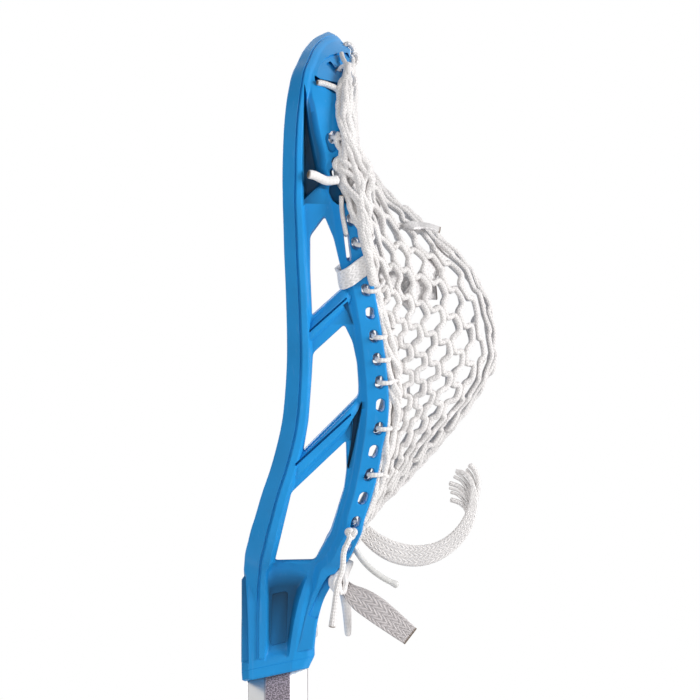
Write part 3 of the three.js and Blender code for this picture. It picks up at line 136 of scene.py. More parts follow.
# Where across the mesh it stops being tight and how soon, and how many rows bend to the scoop.
TIGHT_START, TIGHT_FADE = 0.05, 0.4
SCOOP_ROWS = 2
MESH_REACH = 1.9
MESH_DROP = 2.0
MESH_ROUND = 0.9
MESH_CLIMB = 1.5
SCOOP_SAG = 1.0
POCKET_DEPTH = 105.2
MESH_TOP_PLACE = -2.5
MESH_BOTTOM_PLACE = 15.3
KNOT_PLACES = [-1.5, -0.15, 1, 3, 4, 5, 6, 7, 8, 9, 10, 11, 13, 14.3]
STRING_RADIUS = 1.15
LACE_WIDTH = 9.4
LACE_THICKNESS = 1.5
LACE_GAP = 0.55
LACE_SIDES = 28
LACE_FULLNESS = [0.55, 0.4]

# Stations of the hoop from the throat to the middle of the scoop: height, depth and half width of the front edge and
# of the back edge, the back rail's width, how open the recess between the rails is, and how much the rails rise.
HOOP_SHARES = np.array([
    [0.030, -0.331, 0.165, 0.052, 0.328, 0.165, 0.79, 1, 1],
    [0.063, -0.331, 0.165, 0.066, 0.342, 0.165, 0.68, 1, 1],
    [0.095, -0.329, 0.165, 0.095, 0.365, 0.165, 0.60, 1, 1],
    [0.127, -0.320, 0.170, 0.127, 0.417, 0.168, 0.60, 1, 1],
    [0.152, -0.316, 0.194, 0.152, 0.486, 0.185, 0.68, 1, 1],
    [0.180, -0.303, 0.256, 0.180, 0.551, 0.225, 0.79, 1, 1],
    [0.197, -0.293, 0.325, 0.197, 0.647, 0.275, 0.79, 1, 1],
    [0.215, -0.267, 0.388, 0.215, 0.701, 0.319, 0.80, 1, 1],
    [0.234, -0.239, 0.438, 0.234, 0.755, 0.356, 0.80, 1, 1],
    [0.253, -0.204, 0.463, 0.253, 0.783, 0.381, 0.82, 1, 1],
    [0.290, -0.140, 0.479, 0.290, 0.854, 0.400, 0.86, 1, 1],
    [0.326, -0.067, 0.490, 0.326, 0.908, 0.406, 0.90, 1, 1],
    [0.364, -0.004, 0.500, 0.364, 0.946, 0.413, 0.91, 1, 1],
    [0.399, 0.041, 0.516, 0.399, 0.991, 0.429, 1.00, 1, 1],
    [0.437, 0.067, 0.535, 0.437, 1.000, 0.448, 1.00, 1, 1],
    [0.491, 0.086, 0.575, 0.491, 0.976, 0.488, 1.00, 1, 1],
    [0.544, 0.086, 0.631, 0.544, 0.931, 0.544, 0.96, 1, 1],
    [0.601, 0.077, 0.704, 0.601, 0.873, 0.616, 0.96, 1, 1],
    [0.655, 0.064, 0.781, 0.655, 0.804, 0.694, 0.96, 1, 1],
    [0.693, 0.058, 0.838, 0.693, 0.755, 0.750, 0.93, 1, 1],
    [0.728, 0.052, 0.888, 0.725, 0.714, 0.800, 0.87, 1, 1],
    [0.753, 0.050, 0.923, 0.741, 0.650, 0.825, 0.75, 1, 1],
    [0.769, 0.050, 0.941, 0.759, 0.551, 0.844, 0.50, 1, 1],
    [0.791, 0.052, 0.965, 0.785, 0.492, 0.863, 0.40, 1, 1],
    [0.816, 0.056, 0.988, 0.807, 0.551, 0.879, 0.73, 1, 1],
    [0.848, 0.065, 1.000, 0.834, 0.561, 0.888, 1.04, 1, 1],
    [0.886, 0.086, 0.991, 0.864, 0.572, 0.881, 1.36, 0.8, 1],
    [0.915, 0.114, 0.925, 0.889, 0.591, 0.825, 1.80, 0, 0.9],
    [0.934, 0.140, 0.850, 0.907, 0.606, 0.763, 1.80, 0, 0.8],
    [0.951, 0.185, 0.738, 0.924, 0.621, 0.663, 1.60, 0, 0.65],
    [0.970, 0.239, 0.588, 0.943, 0.639, 0.525, 1.30, 0, 0.5],
    [0.987, 0.321, 0.363, 0.960, 0.650, 0.325, 1.10, 0, 0.38],
    [0.996, 0.407, 0.181, 0.967, 0.656, 0.163, 1.00, 0, 0.3],
    [1.000, 0.456, 0.000, 0.968, 0.656, 0.000, 1.00, 0, 0.28],
])

# Rows of the throat's block: height, front reach, back reach, front half width and back half width.
THROAT_SHARES = np.array([
    [0.235, 0.331, 0.335, 0.195, 0.195],
    [0.46, 0.331, 0.37, 0.195, 0.195],
    [0.56, 0.320, 0.42, 0.198, 0.196],
    [0.667, 0.316, 0.486, 0.212, 0.202],
    [0.79, 0.300, 0.545, 0.262, 0.232],
    [0.867, 0.288, 0.62, 0.325, 0.275],
    [0.944, 0.262, 0.67, 0.388, 0.319],
    [1, 0.240, 0.70, 0.43, 0.35],
])

# Middle line of the pocket from the scoop to the throat: depth and height.
POCKET_SHARES = np.array([
    [0.336, 0.959], [0.345, 0.92], [0.354, 0.87], [0.366, 0.82], [0.409, 0.792], [0.514, 0.748],
    [0.640, 0.713], [0.769, 0.676], [0.874, 0.64], [0.940, 0.602], [0.982, 0.564], [1.000, 0.522],
    [0.988, 0.49], [0.946, 0.455], [0.868, 0.418], [0.778, 0.381], [0.682, 0.345], [0.574, 0.307],
    [0.469, 0.271], [0.384, 0.237], [0.324, 0.205], [0.297, 0.178], [0.294, 0.16],
])

# Windows of the sidewalls from the scoop down: depth and height.
WINDOW_SHARES = [
    [[0.424, 0.717], [0.291, 0.687], [0.292, 0.633], [0.310, 0.562], [0.621, 0.609], [0.574, 0.636], [0.510, 0.682]],
    [[0.318, 0.506], [0.602, 0.550], [0.682, 0.522], [0.722, 0.490], [0.736, 0.456], [0.733, 0.440], [0.230, 0.355],
    [0.277, 0.402], [0.303, 0.462]],
    [[0.622, 0.372], [0.123, 0.292], [-0.030, 0.185], [0.335, 0.188], [0.484, 0.232], [0.606, 0.299], [0.628, 0.328]],
]

# How finely curves are read: steps between two rows of a table, halvings in the search for a place on the wall, and
# corrections for the wall's lean.
STEPS_PER_ROW, HALVINGS, CORRECTIONS = 24, 26, 4
# Places read on the throat, on a strut, on the pocket's middle line, between two rows of a skein and of a flat end,
# and on the inner lace's end.
THROAT_RINGS, STRUT_RINGS, MIDDLE_STEPS, SKEIN_STEPS_PER_ROW, BAND_STEPS_PER_ROW, INNER_TAIL_STEPS = (
    36, 37, 1200, 14, 16, 41)

# Shapes: every function below works on whole numpy arrays.


def unit(vectors):
    """Vectors divided by their lengths."""
    return vectors / np.maximum(np.linalg.norm(vectors, axis=-1, keepdims=True), 1e-12)


def in_frame(points):
    """Millimetres in the head's frame to metres in the frame of the whole stick."""
    moved = np.array(points, float) * MM
    moved[..., 2] += HEAD_BASE * MM
    return moved


def mirrored(points):
    """The same points on the far side of the head."""
    return points * np.array([1, -1, 1])


def height_at(share):
    """A height from its share of the head's length: the throat's share is spread evenly over the throat's own height,
    and the rest over what is left of the length."""
    share = np.asarray(share, float)
    above = (share - THROAT_TOP_SHARE) / (1 - THROAT_TOP_SHARE)
    return np.where(share < THROAT_TOP_SHARE, share / THROAT_TOP_SHARE * THROAT_RISE,
                    THROAT_RISE + above * (HEAD_LENGTH - THROAT_RISE))


def smooth_rows(rows, places):
    """Rows of numbers read at fractional places, on a Catmull-Rom curve through the rows."""
    rows = np.asarray(rows, float)
    last = len(rows) - 1
    places = np.clip(np.asarray(places, float), 0, last)
    i = np.minimum(places.astype(int), last - 1)
    t = (places - i)[..., None]
    a, b = rows[np.maximum(i - 1, 0)], rows[i]
    c, d = rows[i + 1], rows[np.minimum(i + 2, last)]
    return 0.5 * (2 * b + (c - a) * t + (2 * a - 5 * b + 4 * c - d) * t ** 2 + (3 * b - a - 3 * c + d) * t ** 3)


def refined(rows, count):
    """The smooth curve through some rows of numbers, read at evenly spaced places."""
    return smooth_rows(rows, np.linspace(0, len(rows) - 1, count))


def full_turn(count):
    """Equal steps round a circle, in radians."""
    return np.arange(count) / count * 2 * math.pi


def lengths_along(points):
    """Distance from the first point to each point, along the line through them."""
    return np.concatenate([[0], np.cumsum(np.linalg.norm(np.diff(points, axis=0), axis=1))])


def evenly(points, step):
    """A smooth line through a few points, with a point about every step."""
    fine = refined(points, STEPS_PER_ROW * (len(points) - 1) + 1)
    along = lengths_along(fine)
    at = np.linspace(0, along[-1], max(3, int(math.ceil(along[-1] / step)) + 1))
    return np.stack([np.interp(at, along, fine[:, k]) for k in range(3)], axis=1)


def hoop_table():
    """Edges and directions of the hoop at close places: the near side's stations and their mirror image, smoothed."""
    fh, fx, fy, bh, bx, by, rail, opened, rise = HOOP_SHARES.T
    near = np.column_stack([
        fx * HEAD_DEPTH, -fy * FACE_HALF_WIDTH, height_at(fh), bx * HEAD_DEPTH, -by * FACE_HALF_WIDTH, height_at(bh),
        rail * BACK_RAIL_WIDTH, opened, rise,
    ])
    far = near[-2::-1].copy()
    far[:, [1, 4]] *= -1
    rows = np.concatenate([near, far])
    places = np.linspace(0, len(rows) - 1, (len(rows) - 1) * STEPS_PER_ROW + 1)
    table = smooth_rows(rows, places)
    table[:, 7] = np.clip(table[:, 7], 0, 1)
    front, back = table[:, :3], table[:, 3:6]
    along = unit(np.gradient(front + back, axis=0))
    inward = unit(back - front)
    outward = unit(np.cross(inward, along))
    return places, np.column_stack([table, inward, outward, along])


HOOP_PLACES, HOOP = hoop_table()
SCOOP_MIDDLE = len(HOOP_SHARES) - 1


def rim(place):
    """The hoop at any places: its two edges, its sizes and its three directions."""
    place = np.asarray(place, float)
    read = np.stack([np.interp(place, HOOP_PLACES, column) for column in HOOP.T], axis=-1)
    return {
        "front": read[..., 0:3], "back": read[..., 3:6], "rail": read[..., 6], "open": read[..., 7],
        "rise": read[..., 8], "inward": unit(read[..., 9:12]), "outward": unit(read[..., 12:15]),
        "along": unit(read[..., 15:18]),
    }


def place_at_height(height):
    """The place on the near sidewall where the back edge has a height."""
    near = HOOP_PLACES <= SCOOP_MIDDLE
    return np.interp(height, HOOP[near, 5], HOOP_PLACES[near])


def rail_point(at, past, rise):
    """A point by the back edge: past it along the wall, and above the hoop line."""
    past, rise = np.asarray(past)[..., None], np.asarray(rise)[..., None]
    return at["back"] + at["inward"] * past + at["outward"] * rise


def wall(x, height, rise, below=None):
    """Points of the near sidewall seen from the side, raised above the hoop line. Bisection finds the place.
    Where below is given, it is the depth under the back rail's face there, and rise isn't used."""
    x, height = np.asarray(x, float), np.asarray(height, float)
    low, high = np.zeros(x.shape), np.full(x.shape, float(SCOOP_MIDDLE))
    for _ in range(HALVINGS):
        middle = (low + high) / 2
        at = rim(middle)
        share = (x - at["front"][..., 0]) / (at["back"][..., 0] - at["front"][..., 0])
        under = at["front"][..., 2] + (at["back"][..., 2] - at["front"][..., 2]) * share < height
        low, high = np.where(under, middle, low), np.where(under, high, middle)
    at = rim((low + high) / 2)
    share = (x - at["front"][..., 0]) / (at["back"][..., 0] - at["front"][..., 0])
    base = at["front"] + (at["back"] - at["front"]) * share[..., None]
    rise = np.asarray(rise) if below is None else BACK_RAIL_RISE * at["rise"] - np.asarray(below)
    return base + at["outward"] * rise[..., None]


def on_wall(x, height, rise, below=None):
    """As wall, but each point is seen from the side exactly at x and height, whatever the wall's lean there: what a
    point misses them by is added to where the next one is looked for."""
    at_x, at_height = np.asarray(x, float), np.asarray(height, float)
    for _ in range(CORRECTIONS):
        points = wall(at_x, at_height, rise, below)
        at_x, at_height = at_x + x - points[:, 0], at_height + height - points[:, 2]
    return points


# Meshes.


def placed(name, data):
    """An object made of some data, linked to the scene."""
    piece = bpy.data.objects.new(name, data)
    bpy.context.scene.collection.objects.link(piece)
    return piece


def smoothed(piece, sharp):
    """The piece with smooth faces, where an edge over an angle in degrees stays hard."""
    piece.data.polygons.foreach_set("use_smooth", np.ones(len(piece.data.polygons), bool))
    piece.data.set_sharp_from_angle(angle=math.radians(sharp))
    return piece


class Shell:
    """Gathers closed bodies made of grids of points, and turns them into one mesh with a UV map."""

    def __init__(self):
        """Empty lists, one entry of each for every body."""
        self.points, self.loops, self.sizes, self.uvs, self.singes, self.count = [], [], [], [], [], 0

    def faces(self, corners, uv):
        """Adds faces given by their corners' numbers within the body, and the UV place of each corner."""
        self.loops.append(corners.reshape(-1) + self.count)
        self.sizes.append(np.full(len(corners), corners.shape[1]))
        self.uvs.append(uv.reshape(-1, 2))

    def tube(self, rings, along, closed=False, singe=None):
        """Rings of points joined in a row: u runs round a ring and v along the row. The ends are capped by fans.
        singe is how burnt each ring is, from 0 to 1."""
        n, m = rings.shape[:2]
        singe = np.zeros(n) if singe is None else singe
        burnt = np.repeat(singe, m)
        rows = n if closed else n - 1
        i, j = np.meshgrid(np.arange(rows), np.arange(m), indexing="ij")
        i, j = i.ravel(), j.ravel()
        ni, nj = (i + 1) % n, (j + 1) % m
        quads = np.stack([i * m + j, i * m + nj, ni * m + nj, ni * m + j], axis=1)
        step = np.append(along, along[-1] + (along[-1] - along[-2]))
        middle = rings[n // 2]
        around = lengths_along(np.concatenate([middle, middle[:1]]))
        around = around / around[-1]
        u0, u1, v0, v1 = around[j], around[j + 1], step[i], step[i + 1]
        uv = np.stack([np.stack([u0, v0], 1), np.stack([u1, v0], 1), np.stack([u1, v1], 1), np.stack([u0, v1], 1)], 1)
        points = rings.reshape(-1, 3)
        inside = rings.mean(axis=1)
        facing = np.cross(points[quads[:, 1]] - points[quads[:, 0]], points[quads[:, 3]] - points[quads[:, 0]])
        away = points[quads[:, 0]] - inside[i]
        turned = (facing * away).sum() < 0
        order = [0, 3, 2, 1] if turned else [0, 1, 2, 3]
        self.faces(quads[:, order], uv[:, order])
        if not closed:
            j, nj = np.arange(m), (np.arange(m) + 1) % m
            for ring, base, flip, v in ((0, 0, turned, along[0]), (n - 1, (n - 1) * m, not turned, along[-1])):
                tip = np.full(m, len(points) + (ring > 0))
                fan = np.stack([base + nj, base + j, tip] if not flip else [base + j, base + nj, tip], axis=1)
                around = np.stack([j / m, np.full(m, v)], axis=1)
                self.faces(fan, np.repeat(around[:, None], 3, axis=1))
            points = np.concatenate([points, inside[[0, -1]]])
            burnt = np.concatenate([burnt, singe[[0, -1]]])
        self.points.append(points)
        self.singes.append(burnt)
        self.count += len(points)

    def mesh(self, name, sharp=None):
        """The Blender object, in metres. sharp is the angle in degrees over which an edge stays hard."""
        made = bpy.data.meshes.new(name)
        points = in_frame(np.concatenate(self.points))
        loops, sizes = np.concatenate(self.loops), np.concatenate(self.sizes)
        made.vertices.add(len(points))
        made.vertices.foreach_set("co", points.astype(np.float32).ravel())
        made.loops.add(len(loops))
        made.loops.foreach_set("vertex_index", loops.astype(np.int32))
        made.polygons.add(len(sizes))
        starts = np.concatenate([[0], np.cumsum(sizes)[:-1]])
        made.polygons.foreach_set("loop_start", starts.astype(np.int32))
        made.update(calc_edges=True)
        layer = made.uv_layers.new(name=UV_NAME)
        layer.data.foreach_set("uv", np.concatenate(self.uvs).astype(np.float32).ravel())
        burnt = made.attributes.new(SINGE_NAME, "FLOAT", "POINT")
        burnt.data.foreach_set("value", np.concatenate(self.singes).astype(np.float32))
        made.polygons.foreach_set("use_smooth", np.ones(len(sizes), bool))
        if sharp is not None:
            made.set_sharp_from_angle(angle=math.radians(sharp))
        made.validate()
        return placed(name, made)


def rings_on(path):
    """Two directions square to a path at each of its points, carried along it without twist."""
    tangents = unit(np.gradient(path, axis=0))
    helper = np.array([0, 1.0, 0]) if abs(tangents[0, 0]) > abs(tangents[0, 1]) else np.array([1.0, 0, 0])
    side = unit(helper - tangents[0] * (helper @ tangents[0]))
    sides = []
    for tangent in tangents:
        side = unit(side - tangent * (side @ tangent))
        sides.append(side)
    sides = np.array(sides)
    return tangents, sides, np.cross(tangents, sides)


def singed(along, lengths):
    """How burnt each ring is: 1 at a sealed end, fading over the length given for the start and for the far end."""
    start, end = lengths
    from_start = np.clip(1 - along / start, 0, 1) if start else np.zeros_like(along)
    from_end = np.clip(1 - (along[-1] - along) / end, 0, 1) if end else np.zeros_like(along)
    return np.maximum(from_start, from_end)


def round_cord(shell, path, radius, sides=10, rounded=0.8, singe=(0, 0)):
    """A round cord on a path: circles square to it, the ends closed over like a melted tip. A tip is a quarter of an
    oval: at each turn the radius falls as its cosine and the tip reaches out as rounded times its sine."""
    radius = np.broadcast_to(np.asarray(radius, float), (len(path),)).copy()
    tangents, sides_, ups = rings_on(path)
    turns = np.linspace(0, math.pi / 2, 4)[:-1]
    bulge = radius[0] * rounded * np.sin(turns[::-1])[:, None]
    head = path[0] - tangents[0] * bulge
    bulge = radius[-1] * rounded * np.sin(turns)[:, None]
    tail = path[-1] + tangents[-1] * bulge
    line = np.concatenate([head[:-1], path, tail[1:]])
    grown = np.concatenate([radius[0] * np.cos(turns[::-1])[:-1], radius, radius[-1] * np.cos(turns)[1:]])
    tip = len(turns) - 1
    a, b = (np.concatenate([np.repeat(way[:1], tip, 0), way, np.repeat(way[-1:], tip, 0)]) for way in (sides_, ups))
    angle = full_turn(sides)
    ring = a[:, None] * np.cos(angle)[None, :, None] + b[:, None] * np.sin(angle)[None, :, None]
    rings = line[:, None] + ring * grown[:, None, None]
    along = lengths_along(line)
    shell.tube(rings, along * MM, singe=singed(along, singe))


def flat_section():
    """A flat braid's section, an oval with full edges: across is cos^LACE_FULLNESS[0] of a turning angle and over is
    sin^LACE_FULLNESS[1], each with its sign."""
    angle = full_turn(LACE_SIDES)
    waves = np.cos(angle), np.sin(angle)
    return [np.sign(wave) * np.abs(wave) ** power for wave, power in zip(waves, LACE_FULLNESS)]


def flat_cord(shell, path, widths, width, thickness, closed=False, singe=(0, 0)):
    """A flat lace on a path: widths gives the direction of its width, and the section is an oval with full edges."""
    tangents = unit(np.gradient(path, axis=0)) if not closed else unit(np.roll(path, -1, 0) - np.roll(path, 1, 0))
    across = unit(widths - tangents * (widths * tangents).sum(1)[:, None])
    up = np.cross(tangents, across)
    a, b = flat_section()
    width = np.broadcast_to(np.asarray(width, float), (len(path),))
    rings = (path[:, None] + across[:, None] * a[None, :, None] * width[:, None, None] / 2
             + up[:, None] * b[None, :, None] * thickness / 2)
    along = lengths_along(path)
    shell.tube(rings, along * MM, closed, singed(along, singe))


def cord_mesh(name, path, radius, **how):
    """A round cord as a mesh of its own."""
    shell = Shell()
    round_cord(shell, path, radius, **how)
    return shell.mesh(name)


def lace_mesh(name, path, widths, width, thickness, **how):
    """A flat lace as a mesh of its own."""
    shell = Shell()
    flat_cord(shell, path, widths, width, thickness, **how)
    return shell.mesh(name)


def ring_mesh(name, rings, sharp, along=None, closed=False):
    """Rings in a row as a mesh of its own. On the UV map they lie 1 mm apart, unless along says otherwise."""
    shell = Shell()
    shell.tube(np.array(rings), (np.arange(len(rings)) if along is None else np.array(along)) * MM, closed)
    return shell.mesh(name, sharp)


def solid(name, points, faces):
    """A plain closed mesh for a cut or a join, with its faces turned out."""
    if inside_volume(points, faces) < 0:
        faces = [f[::-1] for f in faces]
    made = bpy.data.meshes.new(name)
    made.from_pydata(in_frame(points).tolist(), [], [list(map(int, f)) for f in faces])
    made.validate()
    return placed(name, made)


def stacked(rings):
    """Points and faces of a closed body made of rings in a row."""
    rings = np.asarray(rings)
    n, m = rings.shape[:2]
    faces = [[i * m + j, i * m + (j + 1) % m, (i + 1) * m + (j + 1) % m, (i + 1) * m + j]
             for i in range(n - 1) for j in range(m)]
    faces += [list(range(m))[::-1], list(range((n - 1) * m, n * m))]
    return rings.reshape(-1, 3), faces


def carve(name, start, steps):
    """Joins and cuts solids in turn with Blender's manifold solver, and keeps only the result."""
    for number, (operation, tool) in enumerate(steps):
        cut = start.modifiers.new(f"step{number}", "BOOLEAN")
        cut.operation, cut.object, cut.solver = operation, tool, "MANIFOLD"
    bpy.context.view_layer.update()
    made = bpy.data.meshes.new_from_object(start.evaluated_get(bpy.context.evaluated_depsgraph_get()))
    made.name = name
    for piece in [start] + [tool for _, tool in steps]:
        old = piece.data
        bpy.data.objects.remove(piece)
        bpy.data.meshes.remove(old)
    return placed(name, made)


def rounded_outline(corners, rounding, step=1.5):
    """A closed outline whose corners are eased by quadratic curves, with a point about every step."""
    line = eased(np.asarray(corners, float)[None], [rounding] * len(corners), 6)[0]
    closed = np.concatenate([line, line[:1]])
    pieces = []
    for a, b in zip(closed[:-1], closed[1:]):
        count = max(1, int(np.linalg.norm(b - a) / step))
        pieces.append(a + (b - a) * (np.arange(count) / count)[:, None])
    return np.concatenate(pieces)


def grown_outline(outline, by):
    """A closed outline moved out by an amount, each point square to the line between its two neighbours."""
    ahead = unit(np.roll(outline, -1, 0) - np.roll(outline, 1, 0))
    normals = np.stack([ahead[:, 1], -ahead[:, 0]], axis=1)
    area = (outline[:, 0] * np.roll(outline[:, 1], -1) - np.roll(outline[:, 0], -1) * outline[:, 1]).sum()
    return outline + normals * by * (1 if area > 0 else -1)


def inside_volume(points, faces):
    """Six times the volume inside some faces, with its sign: the sum of the triple products of their triangles."""
    triangles = np.array([[f[0], f[k], f[k + 1]] for f in faces for k in range(1, len(f) - 1)])
    a, b, c = (points[triangles[:, k]] for k in range(3))
    return (a * np.cross(b, c)).sum()


def wall_tool(outline, levels):
    """A solid on the near sidewall: one outline at several rises above it, each grown by its own amount."""
    return stacked([wall(*grown_outline(outline, grow).T, rise) for rise, grow in levels])


def on_both_sides(parts):
    """Each body and its mirror image on the far side."""
    return parts + [(mirrored(points), faces) for points, faces in parts]


def merged_solid(name, parts):
    """Several closed bodies that don't touch, as one solid."""
    points, faces, count = [], [], 0
    for part_points, part_faces in parts:
        turned = inside_volume(part_points, part_faces) < 0
        points.append(part_points)
        faces += [[k + count for k in (f[::-1] if turned else f)] for f in part_faces]
        count += len(part_points)
    return solid(name, np.concatenate(points), faces)


# Head.

STRUT_WIDTH = 10.5
STRUT_RISE = 4.2
STRUT_FOOT = -0.3
STRUT_EASES = [0.3, 0.4, 0.9, 0.9, 0.4, 0.3]
STRUT_STATIONS = [[-0.06, 0.35], [0.06, 0.85], [0.2, 1], [0.5, 1], [0.8, 1], [0.94, 0.85], [1.06, 0.35]]
STRUTS = [
    ([0.185, 0.752], [0.420, 0.785], [[-0.25, 0.25], [-0.08, 0.75], [0.1, 0.75], [0.3, 0.25]]),
    ([0.25, 0.520], [0.68, 0.592], [[-0.58, 0.28], [-0.34, 0.95], [-0.1, 0.95], [0.12, 0.28]]),
    ([0.12, 0.319], [0.715, 0.421], [[-0.46, 0.28], [-0.2, 1], [0.2, 0.92], [0.38, 0.28]]),
]
CHANNEL_SHARES = [[0.19, 0], [0.235, 0.12], [0.28, 0.35], [0.325, 0.7], [0.36, 1.4]]
THROAT_FLOOR = 55.5
THROAT_CHAMFER = 3.2
COLLAR_WALL = 2.9
COLLAR_SIDE_WALL = 4.5
COLLAR_HEIGHT = 5.2
COLLAR_SLANT = 0.21
THROAT_PANEL = 0.1
THROAT_CREASE = [[0, 5.8, 11, 22, 31.6, 38, 43.4, 48.8, 54.2, 59.5, 72],
                 [7.0, 7.4, 8.2, 9.3, 11.1, 12.5, 14.1, 16, 17.9, 19.8, 25]]
THROAT_LEAN = 0.22
THROAT_EASES = [0.9, 0.9, 0.9, 0.3, 0.9, 0.9, 0.9, 0.9, 0.3, 0.9]
# Rings of the collar from below: how far in the front, the back and the sides lie from its full size, and the height.
COLLAR_RINGS = [[1.6, 1.4, 0.8, 0], [0.3, 1.0, 0.1, 0.9], [0, -1.2, 0, COLLAR_HEIGHT - 0.3],
                [0.1, -1.2, 0.25, COLLAR_HEIGHT]]
SOCKET_REACH = SHAFT_DEPTH / 2 + CLEARANCE + COLLAR_WALL
SLOT_PLACE, SLOT_WIDTH, SLOT_LENGTH, SLOT_INSET = 1.13, 2.5, 15.5, 8.6
SCREW_HEIGHT, SCREW_SHANK, SCREW_SHANK_LENGTH = 25.0, 1.9, 10.0
SCREW_HEAD, SCREW_HEAD_HEIGHT, SCREW_SEAT_DEPTH = 3.7, 2.2, 2.0
SCREW_TIP, THREAD_START, THREAD_LENGTH, THREAD_TURNS, THREAD_DEPTH = 0.5, 0.6, 8, 16, 0.35
SCREW_HEAD_EDGE, SCREW_HEAD_SIDE, SCREW_FLAT = 0.15, 0.7, 0.55
CROSS = np.array([[-2.1, -0.45], [2.1, -0.45], [2.1, 0.45], [-2.1, 0.45]])
CROSS_LEVELS = ((1, 1.1), (-0.1, 1), (-1.4, 0.45))


def hoop_keys(at):
    """Corners of the hoop's section at each place: distance from the front edge, and rise above the hoop line."""
    width = np.linalg.norm(at["back"] - at["front"], axis=-1)
    rail, opened, rise = at["rail"], at["open"], at["rise"]
    full = FRONT_FACE_WIDTH + GROOVE_WIDTH + BEAD_WIDTH + BEAD_SLOPE_WIDTH
    squeeze = np.minimum(at["wide"], width * FRONT_SHARE / full)
    lean = GROOVE_WIDTH * squeeze * GROOVE_LEAN
    face_end = FRONT_FACE_WIDTH * squeeze
    groove_end = face_end + GROOVE_WIDTH * squeeze
    bead_end = groove_end + BEAD_WIDTH * squeeze
    foot = bead_end + BEAD_SLOPE_WIDTH * squeeze
    face, back = FRONT_FACE_RISE * rise, BACK_RAIL_RISE * rise
    groove, bead = face - GROOVE_DEPTH * rise, face + BEAD_PROUD * rise
    web = back + (WEB_RISE - back) * opened
    rail_start = np.maximum(width - rail, foot + BACK_CHAMFER_WIDTH * opened + EDGE_ROUNDING)
    web_end = np.maximum(rail_start - BACK_CHAMFER_WIDTH * opened, foot + EDGE_ROUNDING / 2)
    zero = np.zeros_like(width)
    across = [zero, zero, face_end, face_end + lean, groove_end, groove_end + lean, bead_end, foot, web_end,
              rail_start + EDGE_ROUNDING / 4, width - EDGE_ROUNDING, width, width, width - EDGE_ROUNDING, width / 2,
              zero + EDGE_ROUNDING]
    rises = [zero - WALL_INSIDE / 2, zero, face, groove, groove, bead, bead, np.minimum(web, bead), web, back, back,
             back - EDGE_ROUNDING, zero - WALL_INSIDE + EDGE_ROUNDING / 2, zero - WALL_INSIDE, zero - WALL_INSIDE,
             zero - WALL_INSIDE]
    return np.stack([np.stack(across, -1), np.stack(rises, -1)], -1)


LONGEST_EASE = 0.45
KEY_EASES = [0.5, 0.8, 0.35, 0.15, 0.15, 0.5, 0.6, 0.6, 0.5, 0.5, 0.5, 0.5, 0.4, 0.4, 0.1, 0.4]


def eased(keys, eases, steps=4):
    """Corners of closed sections eased by quadratic curves, as one array over all sections. A curve starts and ends
    on the corner's two sides, its ease away from the corner, and leans on the corner by Bernstein's weights."""
    ease = np.array(eases)[None, :, None]
    start, end = (keys + unit(side) * np.minimum(ease, np.linalg.norm(side, axis=-1, keepdims=True) * LONGEST_EASE)
                  for side in (np.roll(keys, 1, 1) - keys, np.roll(keys, -1, 1) - keys))
    t = np.linspace(0, 1, steps)[:, None, None, None]
    curve = (1 - t) ** 2 * start + 2 * t * (1 - t) * keys + t ** 2 * end
    return curve.transpose(1, 2, 0, 3).reshape(len(keys), -1, 2)


def hoop_solid(stations=760):
    """The hoop: its eased section carried along both sidewalls and the scoop."""
    places = np.linspace(0, 2 * SCOOP_MIDDLE, stations)
    at = rim(places)
    at["wide"] = np.interp(np.minimum(at["back"][:, 2], at["front"][:, 2]), *FRONT_WIDTHS)
    section = eased(hoop_keys(at), KEY_EASES)
    rings = (at["front"][:, None] + at["inward"][:, None] * section[..., :1]
             + at["outward"][:, None] * section[..., 1:])
    return solid("hoop", *stacked(rings))


def throat_ring(front, back, front_half, back_half, height, slant=0.0, low=0.0):
    """One level section of the throat with cut corners. Each side turns in at a crease, so that its back part
    leans: it loses THROAT_LEAN for each millimetre behind the crease. slant lifts the section towards the back."""
    chamfer = THROAT_CHAMFER
    crease = np.interp(height, *THROAT_CREASE)
    crease = min(max(crease, front + chamfer + 2), back - chamfer - 1)
    at_crease = front_half + (back_half - front_half) * (crease - front - chamfer) / (back - front - 2 * chamfer)
    back_half = back_half - (back - chamfer - crease) * THROAT_LEAN
    x = np.array([back, back, back - chamfer, crease, front + chamfer, front, front, front + chamfer, crease,
                  back - chamfer])
    y = np.array([-back_half + chamfer, back_half - chamfer, back_half, at_crease, front_half, front_half - chamfer,
                  -front_half + chamfer, -front_half, -at_crease, -back_half])
    keys = np.stack([x, y], -1)[None]
    flat = eased(keys, THROAT_EASES, 5)[0]
    return np.column_stack([flat, height + (flat[:, 0] - low) * slant])


def throat_solid():
    """The throat's block: the collar, the step to its side panels, and rows that widen into the sidewalls."""
    front, back = -(SOCKET_REACH - EDGE_ROUNDING / 2), SOCKET_REACH - COLLAR_WALL / 2
    half = SHAFT_WIDTH / 2 + CLEARANCE + COLLAR_SIDE_WALL
    panel = half - THROAT_PANEL
    rings = [throat_ring(front + ahead, back - behind, half - side, half - side, height, COLLAR_SLANT, front)
             for ahead, behind, side, height in COLLAR_RINGS]
    rings.append(throat_ring(front, SOCKET_REACH, panel, panel, COLLAR_HEIGHT + 0.3, COLLAR_SLANT, front))
    for h, reach, behind, front_half, back_half in refined(THROAT_SHARES, THROAT_RINGS):
        ahead = max(reach * HEAD_DEPTH, SOCKET_REACH) if h * THROAT_RISE < SOCKET_DEPTH else reach * HEAD_DEPTH
        rings.append(throat_ring(EDGE_ROUNDING / 2 - ahead, max(behind * HEAD_DEPTH, SOCKET_REACH),
                                 max(front_half * FACE_HALF_WIDTH, panel), max(back_half * FACE_HALF_WIDTH, panel),
                                 h * THROAT_RISE))
    return solid("throat", *stacked(rings))


